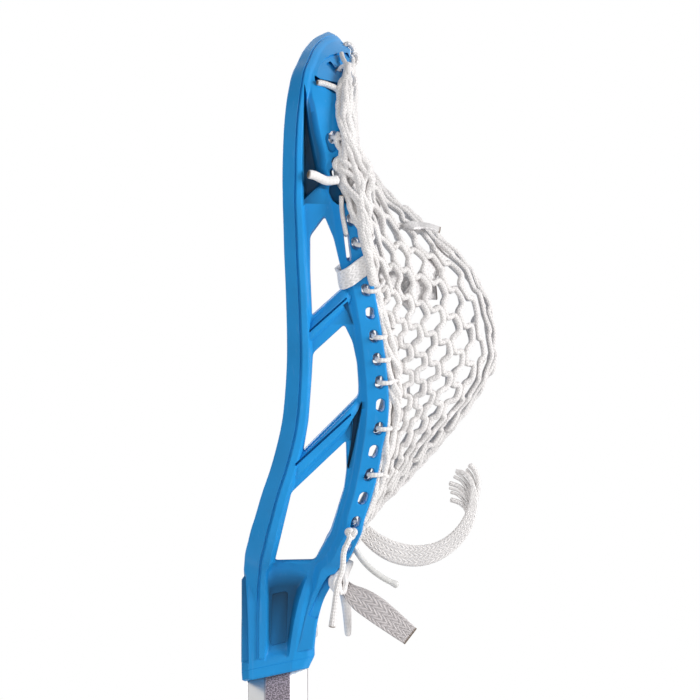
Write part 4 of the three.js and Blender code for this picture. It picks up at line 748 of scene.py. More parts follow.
def strut_part(start, end, section):
    """A rib over a strut, on the near sidewall: a section square to the strut's line, whose rise is multiplied along
    the line by STRUT_STATIONS, so that it is low at both ends."""
    (x0, x1), (h0, h1) = np.array([start[0], end[0]]) * HEAD_DEPTH, height_at([start[1], end[1]])
    length = math.hypot(x1 - x0, h1 - h0)
    across = np.array([(h1 - h0) / length, -(x1 - x0) / length])
    keys = np.array([[section[0][0], STRUT_FOOT]] + section + [[section[-1][0], STRUT_FOOT]])
    keys = eased((keys * [STRUT_WIDTH, STRUT_RISE])[None], STRUT_EASES)[0]
    rings = []
    for t, rise in refined(STRUT_STATIONS, STRUT_RINGS):
        a, b = keys.T
        rings.append(wall(x0 + (x1 - x0) * t + across[0] * a, h0 + (h1 - h0) * t + across[1] * a,
                          np.where(b > 0, b * rise, b)))
    return stacked(rings)


def hole_height(number):
    """Height of a string hole, counted down from the first one in equal shares of the head's length."""
    return height_at(FIRST_HOLE_SHARE - np.asarray(number, float) * HOLE_PITCH_SHARE)


def oval(width, length, count=20):
    """Round-ended outline: the first number runs across, the second along."""
    angle = full_turn(count) + math.pi / count
    along = np.sin(angle) * width / 2 + np.sign(np.sin(angle)) * (length - width) / 2
    return np.stack([np.cos(angle) * width / 2, along], axis=1)


def rim_tool(place, inset, outline, levels):
    """A cut through the wall by the back edge: an outline square to the edge, at several rises."""
    at = rim(float(place))
    rings = []
    for rise, grow in levels:
        across, along = grown_outline(outline, grow).T
        rings.append(at["back"] + at["inward"] * (across - inset)[:, None] + at["along"] * along[:, None]
                     + at["outward"] * rise)
    return stacked(rings)


def box_tool(outline, axis, low, high):
    """A prism from an outline in the plane square to an axis, 0 for x, 1 for y and 2 for height."""
    return stacked([np.insert(np.asarray(outline, float), axis, end, axis=1) for end in (low, high)])


def round_outline(radius, count, centre):
    """Points of a circle, by the cosine and sine of equal turns."""
    angle = full_turn(count)
    return np.stack([np.cos(angle) * radius + centre[0], np.sin(angle) * radius + centre[1]], axis=1)


def octagon(grown, ease=0.0):
    """The shaft's outline, grown on every side, with its corners eased. Growing lengthens half a flat by the growth
    times the tangent of half the turn at its end."""
    x, y = SHAFT_DEPTH / 2 + grown, SHAFT_WIDTH / 2 + grown
    slope = math.atan2(SHAFT_WIDTH - SHAFT_END_FLAT, SHAFT_DEPTH - SHAFT_SIDE_FLAT)
    a = SHAFT_SIDE_FLAT / 2 + grown * math.tan(slope / 2)
    b = SHAFT_END_FLAT / 2 + grown * math.tan((math.pi / 2 - slope) / 2)
    keys = np.array([[x, -b], [x, b], [a, y], [-a, y], [-x, b], [-x, -b], [-a, -y], [a, -y]])
    return eased(keys[None], [ease] * 8, 5)[0] if ease else keys


def throat_back_at(height):
    """How far back the throat reaches at a height: its rows read in between, and never less than the socket needs."""
    rows = THROAT_SHARES
    return float(np.interp(height / THROAT_RISE, rows[:, 0], np.maximum(rows[:, 2] * HEAD_DEPTH, SOCKET_REACH)))


SCREW_SEAT = throat_back_at(SCREW_HEIGHT) - SCREW_SEAT_DEPTH


def scoop_lengths():
    """Length of the back edge from the mesh's upper corner to close places on the near half of the scoop."""
    places = np.linspace(place_at_height(hole_height(MESH_TOP_PLACE)), SCOOP_MIDDLE, 240)
    return places, lengths_along(rim(places)["back"])


SCOOP_PLACES, SCOOP_LENGTHS = scoop_lengths()


def scoop_place(across):
    """The place on the scoop's back edge for a position across the mesh, -1 near and 1 far."""
    across = np.asarray(across, float)
    place = np.interp((1 - np.abs(across)) * SCOOP_LENGTHS[-1], SCOOP_LENGTHS, SCOOP_PLACES)
    return np.where(across > 0, 2 * SCOOP_MIDDLE - place, place)


def column_across(column):
    """Position across the mesh, -1 near and 1 far, of one of its evenly spaced columns."""
    return 2 * np.asarray(column, float) / MESH_COLUMNS - 1


def from_photo(corners):
    """Points of the side view, from pixels of the photograph to x and height in millimetres. x counts from the
    shaft's axis and height from the throat's lowest point, at PHOTO_PIXEL for each pixel."""
    across, down = np.asarray(corners, float).T
    return np.stack([(across - SHAFT_AXIS_PIXEL) * PHOTO_PIXEL, (THROAT_PIXEL - down) * PHOTO_PIXEL], 1)


# Hollows in the head's near side, in the photograph's pixels: at each level, a distance in millimetres and the
# outline there. The corners of one hollow's levels answer each other.
THROAT_HOLLOW = [
    (34, [[265.5, 570], [265.2, 600], [265.2, 630], [264.6, 650], [262.3, 668], [289.8, 661], [291.8, 645],
          [294.8, 626], [299.8, 603], [306.4, 583], [311, 570], [292, 561.5], [273, 561.5]]),
    (21, [[265.5, 572], [265.4, 600], [265.4, 630], [264.8, 650], [262.5, 668], [289.5, 661], [291.4, 645],
          [294.5, 626], [299.5, 603], [306, 583], [310.5, 571], [292, 563], [273, 563]]),
    (17.9, [[266, 577], [266, 600], [266, 630], [265.3, 650], [263, 666.5], [289.2, 659.5], [291, 645], [294, 626],
            [299, 603], [305, 584], [309, 574], [291, 568.5], [273, 569]]),
    (15.7, [[267.5, 584], [268, 602], [268, 630], [267.5, 648], [267, 656], [287.5, 653], [289, 642], [292, 622],
            [296.5, 602], [301, 588], [303, 579], [288, 577.5], [274, 578.5]]),
    (14.4, [[269, 590], [269.3, 604], [269.3, 630], [269, 644], [269, 649], [286.8, 646.5], [287.7, 640], [290, 620],
            [293, 603], [296, 592], [297, 587], [286, 586], [276, 587]]),
]
THROAT_INSET = [
    (18, [[272.2, 593.6], [286.2, 590.9], [288.8, 593.8], [286.9, 643.7], [272, 647.6], [268.9, 645.2],
          [270.9, 594.9]]),
    (14.7, [[272.6, 594.2], [285.7, 591.5], [288.2, 594], [286.2, 643.2], [272.1, 646.9], [269.6, 644.9],
            [271.6, 595.5]]),
    (13.8, [[272.9, 594.7], [285.5, 592], [287.8, 594.2], [285.8, 642.8], [272.3, 646.4], [270, 644.6],
            [272, 595.9]]),
]
FRONT_INSET = [
    (24, [[243.2, 569.5], [246, 575.5], [247.2, 601], [248.1, 622], [248.8, 664.8], [238, 670.5], [234, 640],
          [236, 600]]),
    (17.6, [[243.2, 569.5], [246, 575.5], [247.2, 601], [248.1, 622], [248.8, 664.8], [238, 670.5], [234, 640],
            [236, 600]]),
    (14.9, [[243.2, 575.5], [244.8, 579.5], [245.8, 601], [246.6, 622], [247.4, 660.8], [238, 665.5], [234, 640],
            [236, 600]]),
]
BACK_INSET = [[334.6, 574.4], [328, 577], [322.7, 585], [315.8, 599], [310.2, 610.9], [307.9, 615.6], [316.8, 619.9],
              [321, 610], [329, 592]]
BEAD_HOLLOW = [
    (9, [[304.3, 82], [303.4, 110], [303, 150], [303.6, 206], [318.5, 191], [329.3, 189.5], [322.8, 160],
         [314.3, 125], [308.6, 99]]),
    (4.2, [[304.5, 84], [303.6, 110], [303.2, 150], [303.8, 205.5], [318.5, 190], [328.5, 189], [322, 160],
           [313.5, 125], [308, 100]]),
    (2.7, [[304.6, 90], [303.8, 112], [303.5, 150], [304, 203], [318, 188.5], [326, 186.5], [318.6, 157],
           [310.8, 123], [306.6, 101]]),
    (-0.9, [[304.7, 106], [304.2, 125], [304, 155], [304.3, 197], [312, 191], [318.5, 185], [312.5, 157],
            [307.8, 132], [305.9, 117]]),
]
SCOOP_STEP = [[347.6, 52.6], [338, 53.2], [330.5, 55.6], [324.6, 59.3], [319, 68], [316.4, 77], [330, 82],
              [345, 84], [351, 76], [351, 60]]
SCOOP_STEP_DEPTHS = [0.9, 0.9, 0.75, 0.3, 0.02, 0.02, 0.02, 0.3, 0.9, 0.9]
SCOOP_WINDOW = [[326, 64.4], [330.3, 61.3], [337.2, 70.5], [335.2, 74.6]]
STRING_NOTCH = [[314.8, 76.2], [319.9, 79.8], [328, 81.6], [338, 83.7], [352, 86], [352, 98], [333.4, 93.6],
                [326, 88.6], [318.6, 83.6], [315, 82.9]]
HAND_RECESS = [[326.6, 134.3], [334.2, 133.8], [337.6, 138], [338, 144], [336.6, 150.6], [332.4, 153.4],
               [328.6, 151.2], [325.4, 140]]
EDGE_BITES = [
    [[338.6, 137.2], [336.2, 141], [338, 148], [343, 152.6], [352, 150], [352, 132], [344, 135]],
    [[343, 156.4], [333.2, 158.4], [331.4, 162.4], [333.2, 166.6], [329.4, 172], [331, 178], [345, 182], [352, 158]],
    [[336, 184.6], [329.4, 186.6], [329, 193], [332.4, 200.4], [337.6, 205], [350, 203], [350, 186]],
]
STRUT_GROOVES = [
    [[309.2, 330.6], [346.4, 297.4], [347, 299], [309.8, 332.2]],
    [[343, 305.4], [347.6, 301.6], [349.4, 310], [353.8, 325], [351.2, 322.4], [347.2, 312]],
    [[361.4, 401.4], [362.4, 404.5], [358.6, 425], [353.4, 450], [348.6, 469], [347, 466], [350.6, 445],
     [352.8, 424], [352, 420.4], [357.6, 411]],
    [[351.6, 420.6], [352.8, 425.4], [351, 441], [346.4, 437.4], [344.8, 433.2]],
    [[295, 464], [350.6, 413.4], [351.4, 415], [295.8, 465.8]],
]
STRUT_GROOVE_RISES = [2.0, 0.4, -0.9, 0.8, 2.0]
# Painted shade: how much darker each outline on the sidewall is painted at DEEPEST under the wall, from 0 to 1.
DEEPEST = 4.2
DARKNESS = [[BEAD_HOLLOW[1][1], 1.0], [SCOOP_WINDOW, 0.35], [STRING_NOTCH, 0.7], [HAND_RECESS, 0.3]]
DARKNESS += [[bite, 0.8] for bite in EDGE_BITES] + list(zip(STRUT_GROOVES, [0.2, 0.55, 0.95, 0.6, 0.2]))
# The shade painted in the throat's hollow is lighter near its foot: it is multiplied by the height above HOLLOW_FOOT
# over HOLLOW_FADE, held between HOLLOW_LEAST and 1. The front inset's painted shade is read from its height.
HOLLOW_FOOT, HOLLOW_FADE, HOLLOW_LEAST = 14, 8, 0.25
INSET_DARKNESS = [[20, 42], [0.22, 0.6]]


def eased_outline(corners, rounding, per_edge=5):
    """A closed outline with eased corners and an equal number of points along every edge."""
    corners = np.asarray(corners, float)
    curve = eased(corners[None], [rounding] * len(corners), 5)[0]
    share = (np.arange(per_edge) / per_edge)[None, :, None]
    ahead = np.roll(curve, -1, 0)[4::5, None]
    straight = curve[4::5, None] * (1 - share) + ahead * share
    return np.concatenate([curve.reshape(-1, 5, 2)[:, :4], straight], axis=1).reshape(-1, 2)


def throat_hollow(levels, rounding):
    """A hollow in the near side of the throat: a different outline at each distance from the middle plane."""
    return stacked([np.insert(eased_outline(from_photo(corners), rounding, 1), 1, -far, axis=1)
                    for far, corners in levels])


def throat_side(height):
    """Half width of the throat at its back, at any height."""
    return np.interp(height / THROAT_RISE, THROAT_SHARES[:, 0], THROAT_SHARES[:, 4]) * FACE_HALF_WIDTH


def throat_inset(corners, depth, rounding=0.8):
    """A shallow inset in the throat's near side, which follows its slope."""
    outline = eased_outline(from_photo(corners), rounding, 2)
    side = np.maximum(throat_side(outline[:, 1]), SHAFT_WIDTH / 2 + CLEARANCE + COLLAR_SIDE_WALL)
    rings = [np.insert(grown_outline(outline, grow), 1, 0, axis=1) for grow in (0.5, 0.1, -0.1)]
    for ring, far in zip(rings, (side + 9, side + 0.1, side - depth)):
        ring[:, 1] = -far
    return stacked(rings)


def wall_hollow(levels, rounding):
    """A hollow in the near sidewall: a different outline at each rise above the hoop line."""
    return stacked([on_wall(*eased_outline(from_photo(corners), rounding).T, rise) for rise, corners in levels])


def wall_inset(corners, depth, rounding=0.5, rise=None):
    """A shallow inset in the near sidewall: its floor lies at a depth under the back rail's face, which may differ
    from corner to corner, or at one rise above the hoop line."""
    outline = eased_outline(from_photo(corners), rounding)
    depth = np.repeat(np.broadcast_to(np.asarray(depth, float), (len(corners),)), len(outline) // len(corners))
    rings = []
    for grow, below in ((0.5, -6.0), (0.15, np.minimum(depth * 0.1, 0.2)), (-0.15, depth)):
        x, height = grown_outline(outline, grow).T
        if rise is not None and grow < 0:
            rings.append(on_wall(x, height, rise))
        else:
            rings.append(on_wall(x, height, None, np.broadcast_to(below, x.shape)))
    return stacked(rings)


def head_hollows():
    """The cuts in the head's sides, each as a body on the near side. Those of one group don't touch."""
    return [
        [throat_hollow(THROAT_HOLLOW, 1.6), throat_hollow(FRONT_INSET, 0.4), wall_hollow(BEAD_HOLLOW, 0.5),
         wall_inset(SCOOP_STEP, SCOOP_STEP_DEPTHS), wall_inset(HAND_RECESS, 1.5, 0.9)],
        [throat_hollow(THROAT_INSET, 0.9), throat_inset(BACK_INSET, 0.9), wall_inset(SCOOP_WINDOW, 1.9),
         wall_inset(STRING_NOTCH, 3.2)] + [wall_inset(bite, 4.4) for bite in EDGE_BITES],
        [wall_inset(STRUT_GROOVES[k], 0, 0.3, STRUT_GROOVE_RISES[k]) for k in (0, 1, 2)],
        [wall_inset(STRUT_GROOVES[k], 0, 0.3, STRUT_GROOVE_RISES[k]) for k in (3, 4)],
    ]


def inside_outline(points, outline):
    """Whether points of the side view lie inside a closed outline, by counting the edges to their right."""
    inside = np.zeros(len(points), bool)
    for (x0, h0), (x1, h1) in zip(outline, np.roll(outline, -1, 0)):
        if h0 == h1:
            continue
        spans = (points[:, 1] > min(h0, h1)) & (points[:, 1] <= max(h0, h1))
        inside ^= spans & (points[:, 0] < x0 + (points[:, 1] - h0) * (x1 - x0) / (h1 - h0))
    return inside


def shade_hollows(head):
    """Gives each point of the head an attribute of painted shade: how far down a hollow it lies, from 0 at its edge
    to 1, times how dark that hollow is painted. On the sidewall that is its distance under the wall over DEEPEST, and
    in the throat its share of the way down."""
    count = len(head.data.vertices)
    places = np.empty(count * 3, np.float32)
    head.data.vertices.foreach_get("co", places)
    places = places.reshape(-1, 3).astype(float) / MM - [0, 0, HEAD_BASE]
    side = np.column_stack([places[:, 0], -abs(places[:, 1]), places[:, 2]])
    seen = side[:, [0, 2]]
    depth = np.zeros(count)
    for corners, dark in DARKNESS:
        outline = grown_outline(eased_outline(from_photo(corners), 0.3), 0.25)
        found = np.flatnonzero(inside_outline(seen, outline))
        face = wall(seen[found, 0], seen[found, 1], None, 0.0)
        under = np.linalg.norm(side[found] - face, axis=1) * (abs(side[found, 1]) < abs(face[:, 1]))
        depth[found] = np.maximum(depth[found], np.clip(under / DEEPEST, 0, 1) * dark)
    outline = eased_outline(from_photo(THROAT_HOLLOW[1][1]), 1.0)
    found = np.flatnonzero(inside_outline(seen, outline))
    under = np.clip((THROAT_HOLLOW[2][0] - abs(side[found, 1])) / (THROAT_HOLLOW[2][0] - THROAT_INSET[2][0]), 0, 1)
    ramp = np.clip((side[found, 2] - HOLLOW_FOOT) / HOLLOW_FADE, HOLLOW_LEAST, 1)
    depth[found] = np.maximum(depth[found], under * ramp)
    outline = eased_outline(from_photo(FRONT_INSET[1][1]), 0.4)
    found = np.flatnonzero(inside_outline(seen, outline))
    depth[found] = np.maximum(depth[found], (abs(side[found, 1]) < FRONT_INSET[2][0] + 0.2)
                              * np.interp(seen[found, 1], *INSET_DARKNESS))
    # The painted shade is kept on the points, for the plastic's material.
    layer = head.data.attributes.new(PAINTED_SHADE_NAME, "FLOAT", "POINT")
    layer.data.foreach_set("value", depth.astype(np.float32))


# Cuts through the wall: the rise of each level above the hoop line, and how far the outline is grown there. BEYOND is
# how far a cut reaches past the wall, and HOLE_LIP how deep a hole's bevel is.
BEYOND, HOLE_LIP = 4, 0.5
SCOOP_HOLE_LEVELS = [[9, 0], [-6, 0]]
SOCKET_START, SEAT_REACH, BORE_OVERLAP = -8, 12, 0.5
WINDOW_ROUNDING = 1.8
WINDOW_LEVELS = [[9, 0.75], [WEB_RISE + 0.9, 0.7], [WEB_RISE + 0.02, 0.6], [WEB_RISE - 0.6, 0],
                 [-WALL_INSIDE + 0.5, 0], [-WALL_INSIDE - 0.02, 0.45], [-7, 0.6]]


def hole_levels(top, bevel):
    """Levels of a hole right through a rail, whose bevel narrows from the rail's face at top down to HOLE_LIP."""
    return [[top + BEYOND, 0.5], [top, bevel], [top - HOLE_LIP, 0], [-WALL_INSIDE - BEYOND, 0]]


def build_head():
    """The moulded head: hoop, throat and ribs joined, then windows, holes, recesses and socket cut."""
    ribs = merged_solid("ribs", on_both_sides([strut_part(*strut) for strut in STRUTS]))
    windows = []
    for shares in WINDOW_SHARES:
        corners = np.array([[x * HEAD_DEPTH, float(height_at(h))] for x, h in shares])
        windows.append(wall_tool(rounded_outline(corners, WINDOW_ROUNDING), WINDOW_LEVELS))
    holes = []
    for number in SIDE_HOLES:
        place = place_at_height(hole_height(number))
        top = BACK_RAIL_RISE * float(rim(float(place))["rise"])
        holes.append(rim_tool(place, HOLE_INSET, oval(HOLE_WIDTH, HOLE_LENGTH), hole_levels(top, 0.45)))
    place = place_at_height(hole_height(SLOT_PLACE))
    slot = rim_tool(place, SLOT_INSET, oval(SLOT_WIDTH, SLOT_LENGTH), hole_levels(BACK_RAIL_RISE, 0.4))
    scoop = []
    for column in SCOOP_HOLE_COLUMNS:
        place = float(scoop_place(column_across(column)))
        scoop.append(rim_tool(place, HOLE_INSET, oval(HOLE_WIDTH, HOLE_LENGTH), SCOOP_HOLE_LEVELS))
    rise = THROAT_RISE - THROAT_FLOOR
    right = [[y * FACE_HALF_WIDTH, THROAT_FLOOR + h * rise] for y, h in CHANNEL_SHARES]
    channel = box_tool([[-y, h] for y, h in right] + right[::-1], 0, -2 * HEAD_DEPTH, 2 * HEAD_DEPTH)
    socket = box_tool(octagon(CLEARANCE), 2, SOCKET_START, SOCKET_DEPTH + CLEARANCE)
    shank, rest = (round_outline(radius + CLEARANCE, count, (0, SCREW_HEIGHT))
                   for radius, count in ((SCREW_SHANK, 24), (SCREW_HEAD, 32)))
    bore = box_tool(shank, 0, 0, SCREW_SEAT + BORE_OVERLAP)
    seat = box_tool(rest, 0, SCREW_SEAT, SCREW_SEAT + SEAT_REACH)
    cuts = [("windows", on_both_sides(windows)), ("channel", [channel])]
    cuts += [(f"hollow{number}", on_both_sides(bodies)) for number, bodies in enumerate(head_hollows())]
    cuts += [("socket", [socket]), ("bore", [bore]), ("seat", [seat])]
    cuts += [("holes", on_both_sides(holes + [slot]) + scoop)]
    steps = [("UNION", throat_solid()), ("UNION", ribs)] + [("DIFFERENCE", merged_solid(*cut)) for cut in cuts]
    head = smoothed(carve("head_moulding", hoop_solid(), steps), HEAD_SHARP)
    # Shade painted down the hollows, stored on the points.
    shade_hollows(head)
    even = head.modifiers.new("even shading", "WEIGHTED_NORMAL")
    even.keep_sharp = True
    even.weight = LARGE_FACE_WEIGHT
    return head


def build_shaft():
    """The octagonal tube: its outer skin and its bore, joined at both ends."""
    outer, bore = octagon(0, SHAFT_EASE), octagon(-SHAFT_WALL, BORE_EASE)
    low, high = CAP_FLOOR - HEAD_BASE, CAP_FLOOR - HEAD_BASE + SHAFT_LENGTH
    edge = SHAFT_EDGE
    levels = [(outer, low + edge, -edge), (outer, low + edge * 2, 0), (outer, high - edge * 2, 0),
              (outer, high - edge, -edge), (bore, high, 0), (bore, low, 0)]
    rings = [np.insert(grown_outline(line, grow), 2, h, axis=1) for line, h, grow in levels]
    along = [0, 1, SHAFT_LENGTH, SHAFT_LENGTH + 1, SHAFT_LENGTH + 2, SHAFT_LENGTH * 2]
    return ring_mesh("shaft_tube", rings, SHAFT_SHARP, along, closed=True)


def build_cap():
    """The rubber cup: a profile of growth and height carried round the shaft's outline, with three grip grooves."""
    full, top = CAP_WALL + CAP_LIP, CAP_FLOOR + CAP_SKIRT
    profile = [[full - 3, -0.0], [full - 1.2, 0.05], [full - 0.35, 0.4], [full, 1.2], [full, CAP_LIP_HEIGHT - 0.5],
               [full - 0.3, CAP_LIP_HEIGHT], [CAP_WALL, CAP_LIP_HEIGHT + CAP_LIP]]
    for share in CAP_GROOVE_SHARES:
        middle = CAP_FLOOR + CAP_SKIRT * share
        profile += [[CAP_WALL - painted_shade, middle + away] for painted_shade, away in CAP_GROOVE]
    profile += [[CAP_WALL, top - 1.2], [CAP_WALL - 0.3, top - 0.35], [CAP_WALL - 0.9, top], [CLEARANCE, top],
                [CLEARANCE, CAP_FLOOR - CLEARANCE], [-4, CAP_FLOOR - CLEARANCE]]
    rings = [np.insert(octagon(grown + CLEARANCE, CAP_EASE), 2, h - HEAD_BASE, axis=1) for grown, h in profile]
    return ring_mesh("butt_cap", rings, CAP_SHARP)


def turned_profile(profile, axis_height, sides=48):
    """Rings round an axis along x: profile gives the distance along it and the radius."""
    angle = full_turn(sides)
    x, radius = np.array(profile, float).T
    ring = np.stack([np.zeros(sides), np.cos(angle), np.sin(angle)], axis=1)
    rings = ring[None] * radius[:, None, None]
    rings[..., 0] += x[:, None]
    rings[..., 2] += axis_height
    return rings


def build_screw():
    """The head's screw: a threaded shank and a domed head with a cross recess. The thread is a row of crests and
    roots. The dome is a quarter oval round a flat of SCREW_FLAT of its radius, and the recess narrows downwards."""
    under = SCREW_SEAT + CLEARANCE
    start, side = under - SCREW_SHANK_LENGTH, under + SCREW_HEAD_SIDE
    turns = np.linspace(0, 1, 2 * THREAD_TURNS + 1)[:-1]
    thread = [[start + THREAD_START + t * THREAD_LENGTH, SCREW_SHANK - THREAD_DEPTH * (k % 2)]
              for k, t in enumerate(turns)]
    head = [[under, SCREW_SHANK], [under, SCREW_HEAD - SCREW_HEAD_EDGE], [under + SCREW_HEAD_EDGE, SCREW_HEAD],
            [side, SCREW_HEAD]]
    dome = [[side + (SCREW_HEAD_HEIGHT - SCREW_HEAD_SIDE) * math.sin(a),
             SCREW_HEAD * (SCREW_FLAT + (1 - SCREW_FLAT) * math.cos(a))] for a in np.linspace(0.1, math.pi / 2, 8)]
    body = turned_profile([[start, SCREW_TIP]] + thread + head + dome, SCREW_HEIGHT)
    face = under + SCREW_HEAD_HEIGHT
    cross = []
    for turn in (0, math.pi / 2):
        turned = CROSS @ np.array([[math.cos(turn), math.sin(turn)], [-math.sin(turn), math.cos(turn)]])
        rings = [np.insert(turned * size + [0, SCREW_HEIGHT], 0, face + past, axis=1) for past, size in CROSS_LEVELS]
        cross.append(("DIFFERENCE", solid("slot_tool", *stacked(rings))))
    return smoothed(carve("fixing_screw", solid("screw_blank", *stacked(body)), cross), SCREW_SHARP)


BALL_STOP_WIDTH, BALL_STOP_LENGTH, BALL_STOP_ROUNDING = 27.0, 28.0, 4.0
# Levels of the ball stop: height over its bottom, and growth.
BALL_STOP_LEVELS = [(0.0, -0.1), (0.3, 0), (1.7, 0), (2.1, -0.2), (2.3, -0.6), (2.36, -1.4), (2.38, -4), (2.4, -9)]


def build_ball_stop():
    """A thin foam pad: a rounded outline at several heights, drawn in at the top edge and slightly crowned."""
    x, y = BALL_STOP_LENGTH / 2, BALL_STOP_WIDTH / 2
    outline = rounded_outline([[-x, -y], [x, -y], [x, y], [-x, y]], BALL_STOP_ROUNDING, 1.0)
    base = THROAT_FLOOR + CLEARANCE
    rings = [np.insert(grown_outline(outline, grow) + [SHAFT_DEPTH / 6, 0], 2, base + rise, axis=1)
             for rise, grow in BALL_STOP_LEVELS]
    return ring_mesh("stop_pad", rings, STOP_SHARP)


# Mesh pocket.


def edge_place(row):
    """Where along the string holes a row of the mesh meets the sidewall. Edge knots lie at half rows."""
    stops = [0] + [i + 0.5 for i in range(MESH_ROWS)] + [MESH_ROWS]
    return np.interp(row, stops, [MESH_TOP_PLACE] + KNOT_PLACES + [MESH_BOTTOM_PLACE])


def pocket_table(row_step=0.05, across_count=201, samples=81):
    """The pocket's surface at close rows and close steps across.

    A row is a quarter ellipse on each side, from its edge behind the back rail to the middle line: with a turning
    from 0 to a quarter turn, depth falls as cos(turn)^MESH_ROUND, width grows as sin(turn)^MESH_ROUND and height
    falls as cos(turn)^MESH_CLIMB. Equal steps across have equal lengths. The first SCOOP_ROWS rows bend to the
    scoop's edge, less so towards the corners, on a smooth step.
    """
    rows = np.arange(int(round(MESH_ROWS / row_step)) + 1) * row_step
    across = np.linspace(-1, 1, across_count)
    at = rim(place_at_height(hole_height(edge_place(rows))))
    edge = at["back"] + at["inward"] * MESH_REACH - at["outward"] * MESH_DROP
    line = np.stack([POCKET_SHARES[:, 0] * POCKET_DEPTH, height_at(POCKET_SHARES[:, 1])], axis=1)
    fine = refined(line, MIDDLE_STEPS)
    length = lengths_along(fine)
    at_length = rows / MESH_ROWS * length[-1]
    middle = np.stack([np.interp(at_length, length, fine[:, 0]), np.interp(at_length, length, fine[:, 1])], axis=1)
    turn = np.linspace(0, math.pi / 2, samples)
    cos, sin = np.maximum(np.cos(turn), 0), np.sin(turn)
    curve = np.stack([
        edge[:, :1] + (middle[:, :1] - edge[:, :1]) * cos ** MESH_ROUND,
        edge[:, 1:2] * sin ** MESH_ROUND,
        edge[:, 2:] + (middle[:, 1:] - edge[:, 2:]) * cos ** MESH_CLIMB,
    ], axis=-1)
    hung = np.zeros((len(rows), across_count, 3))
    for i, points in enumerate(curve):
        along = lengths_along(points)
        for k in range(3):
            hung[i, :, k] = np.interp(np.abs(across) * along[-1], along, points[:, k])
    hung[..., 1] *= -np.sign(across)
    reach = SCOOP_ROWS * (1 - across ** 4) + 0.01
    t = np.clip(rows[:, None] / reach[None], 0, 1)
    near = 1 - t * t * (3 - 2 * t)
    scoop = rim(scoop_place(across))
    tied = scoop["back"] + scoop["inward"] * MESH_REACH - scoop["outward"] * MESH_DROP
    tied = np.broadcast_to(tied, hung.shape).copy()
    tied[..., 2] -= rows[:, None] * SCOOP_SAG * near
    return rows, across, hung + (tied - hung) * near[..., None]


POCKET_ROWS, POCKET_ACROSS, POCKET = pocket_table()


def pocket(across, row):
    """Points of the pocket's surface: across runs from -1 near to 1 far, and row counts down from the scoop."""
    a = np.clip((np.asarray(across, float) + 1) / 2 * (len(POCKET_ACROSS) - 1), 0, len(POCKET_ACROSS) - 1.000001)
    r = np.clip(np.asarray(row, float) / MESH_ROWS * (len(POCKET_ROWS) - 1), 0, len(POCKET_ROWS) - 1.000001)
    a, r = np.broadcast_arrays(a, r)
    i, j = r.astype(int), a.astype(int)
    s, t = (r - i)[..., None], (a - j)[..., None]
    top = POCKET[i, j] * (1 - t) + POCKET[i, j + 1] * t
    low = POCKET[i + 1, j] * (1 - t) + POCKET[i + 1, j + 1] * t
    return top * (1 - s) + low * s


def pocket_ways(across, row, step=0.05):
    """Three directions on the pocket: down the rows, across them, and out of the pocket."""
    a, r = np.clip(across, -0.95, 0.95), np.clip(row, step, MESH_ROWS - step)
    over = unit(pocket(a + step, r) - pocket(a - step, r))
    down = unit(pocket(a, r + step) - pocket(a, r - step))
    out = unit(np.cross(down, over))
    return down, over, out


def laid_across(column):
    """Where a column of the mesh lies, -1 to 1: MESH_BUNCH times the sine of half a turn from the middle to the edge
    draws it towards both sidewalls, where the mesh bunches up."""
    across = column_across(column)
    return across + np.sin(across * math.pi) * MESH_BUNCH


def mesh_strand(number, radius):
    """One zigzag cord of the mesh. It swings between two half columns; at each knot it runs beside its neighbour for
    the length of a leg. In the middle of the pocket the mesh is drawn tight: the swing falls to MESH_TIGHT on a
    smooth step, so the cords run side by side there."""
    k = np.arange(2 * MESH_ROWS + 1)
    rows = k / 2
    on_left = (number + k) % 2 == 1
    columns = np.where(on_left, number / 2, (number + 1) / 2)
    side = np.where(on_left, 1.0, -1.0)
    centre = (number + 0.5) / 2
    tight = np.clip((abs(column_across(centre)) - TIGHT_START) / TIGHT_FADE, 0, 1)
    swing = MESH_TIGHT + (1 - MESH_TIGHT) * tight * tight * (3 - 2 * tight)
    swing = swing + (1 - swing) * np.clip(1 - rows / 2, 0, 1)
    across = laid_across(centre + (columns - centre) * swing)
    middle = pocket(across, rows)
    down, over, out = pocket_ways(across, rows)
    below, above = pocket(across, np.minimum(rows + 0.5, MESH_ROWS)), pocket(across, np.maximum(rows - 0.5, 0))
    leg = np.minimum(KNOT_LEG, np.linalg.norm(below - above, axis=-1) * KNOT_LEG_SHARE)[:, None]
    beside = over * (side * radius * KNOT_SPACING)[:, None]
    lift = out * (np.where((k + number) % 4 < 2, KNOT_LIFT, -KNOT_LIFT) * radius)[:, None]
    points = np.stack([middle - down * leg / 2 + beside + lift, middle + down * leg / 2 + beside - lift], axis=1)
    return points.reshape(-1, 3)


def build_mesh(diameter):
    """The pocket: zigzag cords knotted side by side, with small slack that differs from knot to knot."""
    radius = diameter / 2
    rng = np.random.default_rng(MESH_SEED)
    slack = rng.normal(0, 1, (2 * MESH_ROWS + 1, 2 * MESH_COLUMNS + 1, 2))
    shell = Shell()
    for number in range(2 * MESH_COLUMNS):
        points = mesh_strand(number, radius)
        k = np.repeat(np.arange(2 * MESH_ROWS + 1), 2)
        column = number + np.where((number + k) % 2 == 1, 0, 1)
        drift = slack[k, column]
        across = laid_across(column / 2)
        _, over, out = pocket_ways(across, k / 2)
        inner = (np.abs(across) < 0.99) & (k > 1) & (k < 2 * MESH_ROWS - 1)
        points = points + (over * drift[:, :1] * MESH_SLACK[0] + out * drift[:, 1:] * MESH_SLACK[1]) * inner[:, None]
        round_cord(shell, evenly(points, MESH_STEP), radius, rounded=0.5)
    return shell.mesh("knotted_pocket")


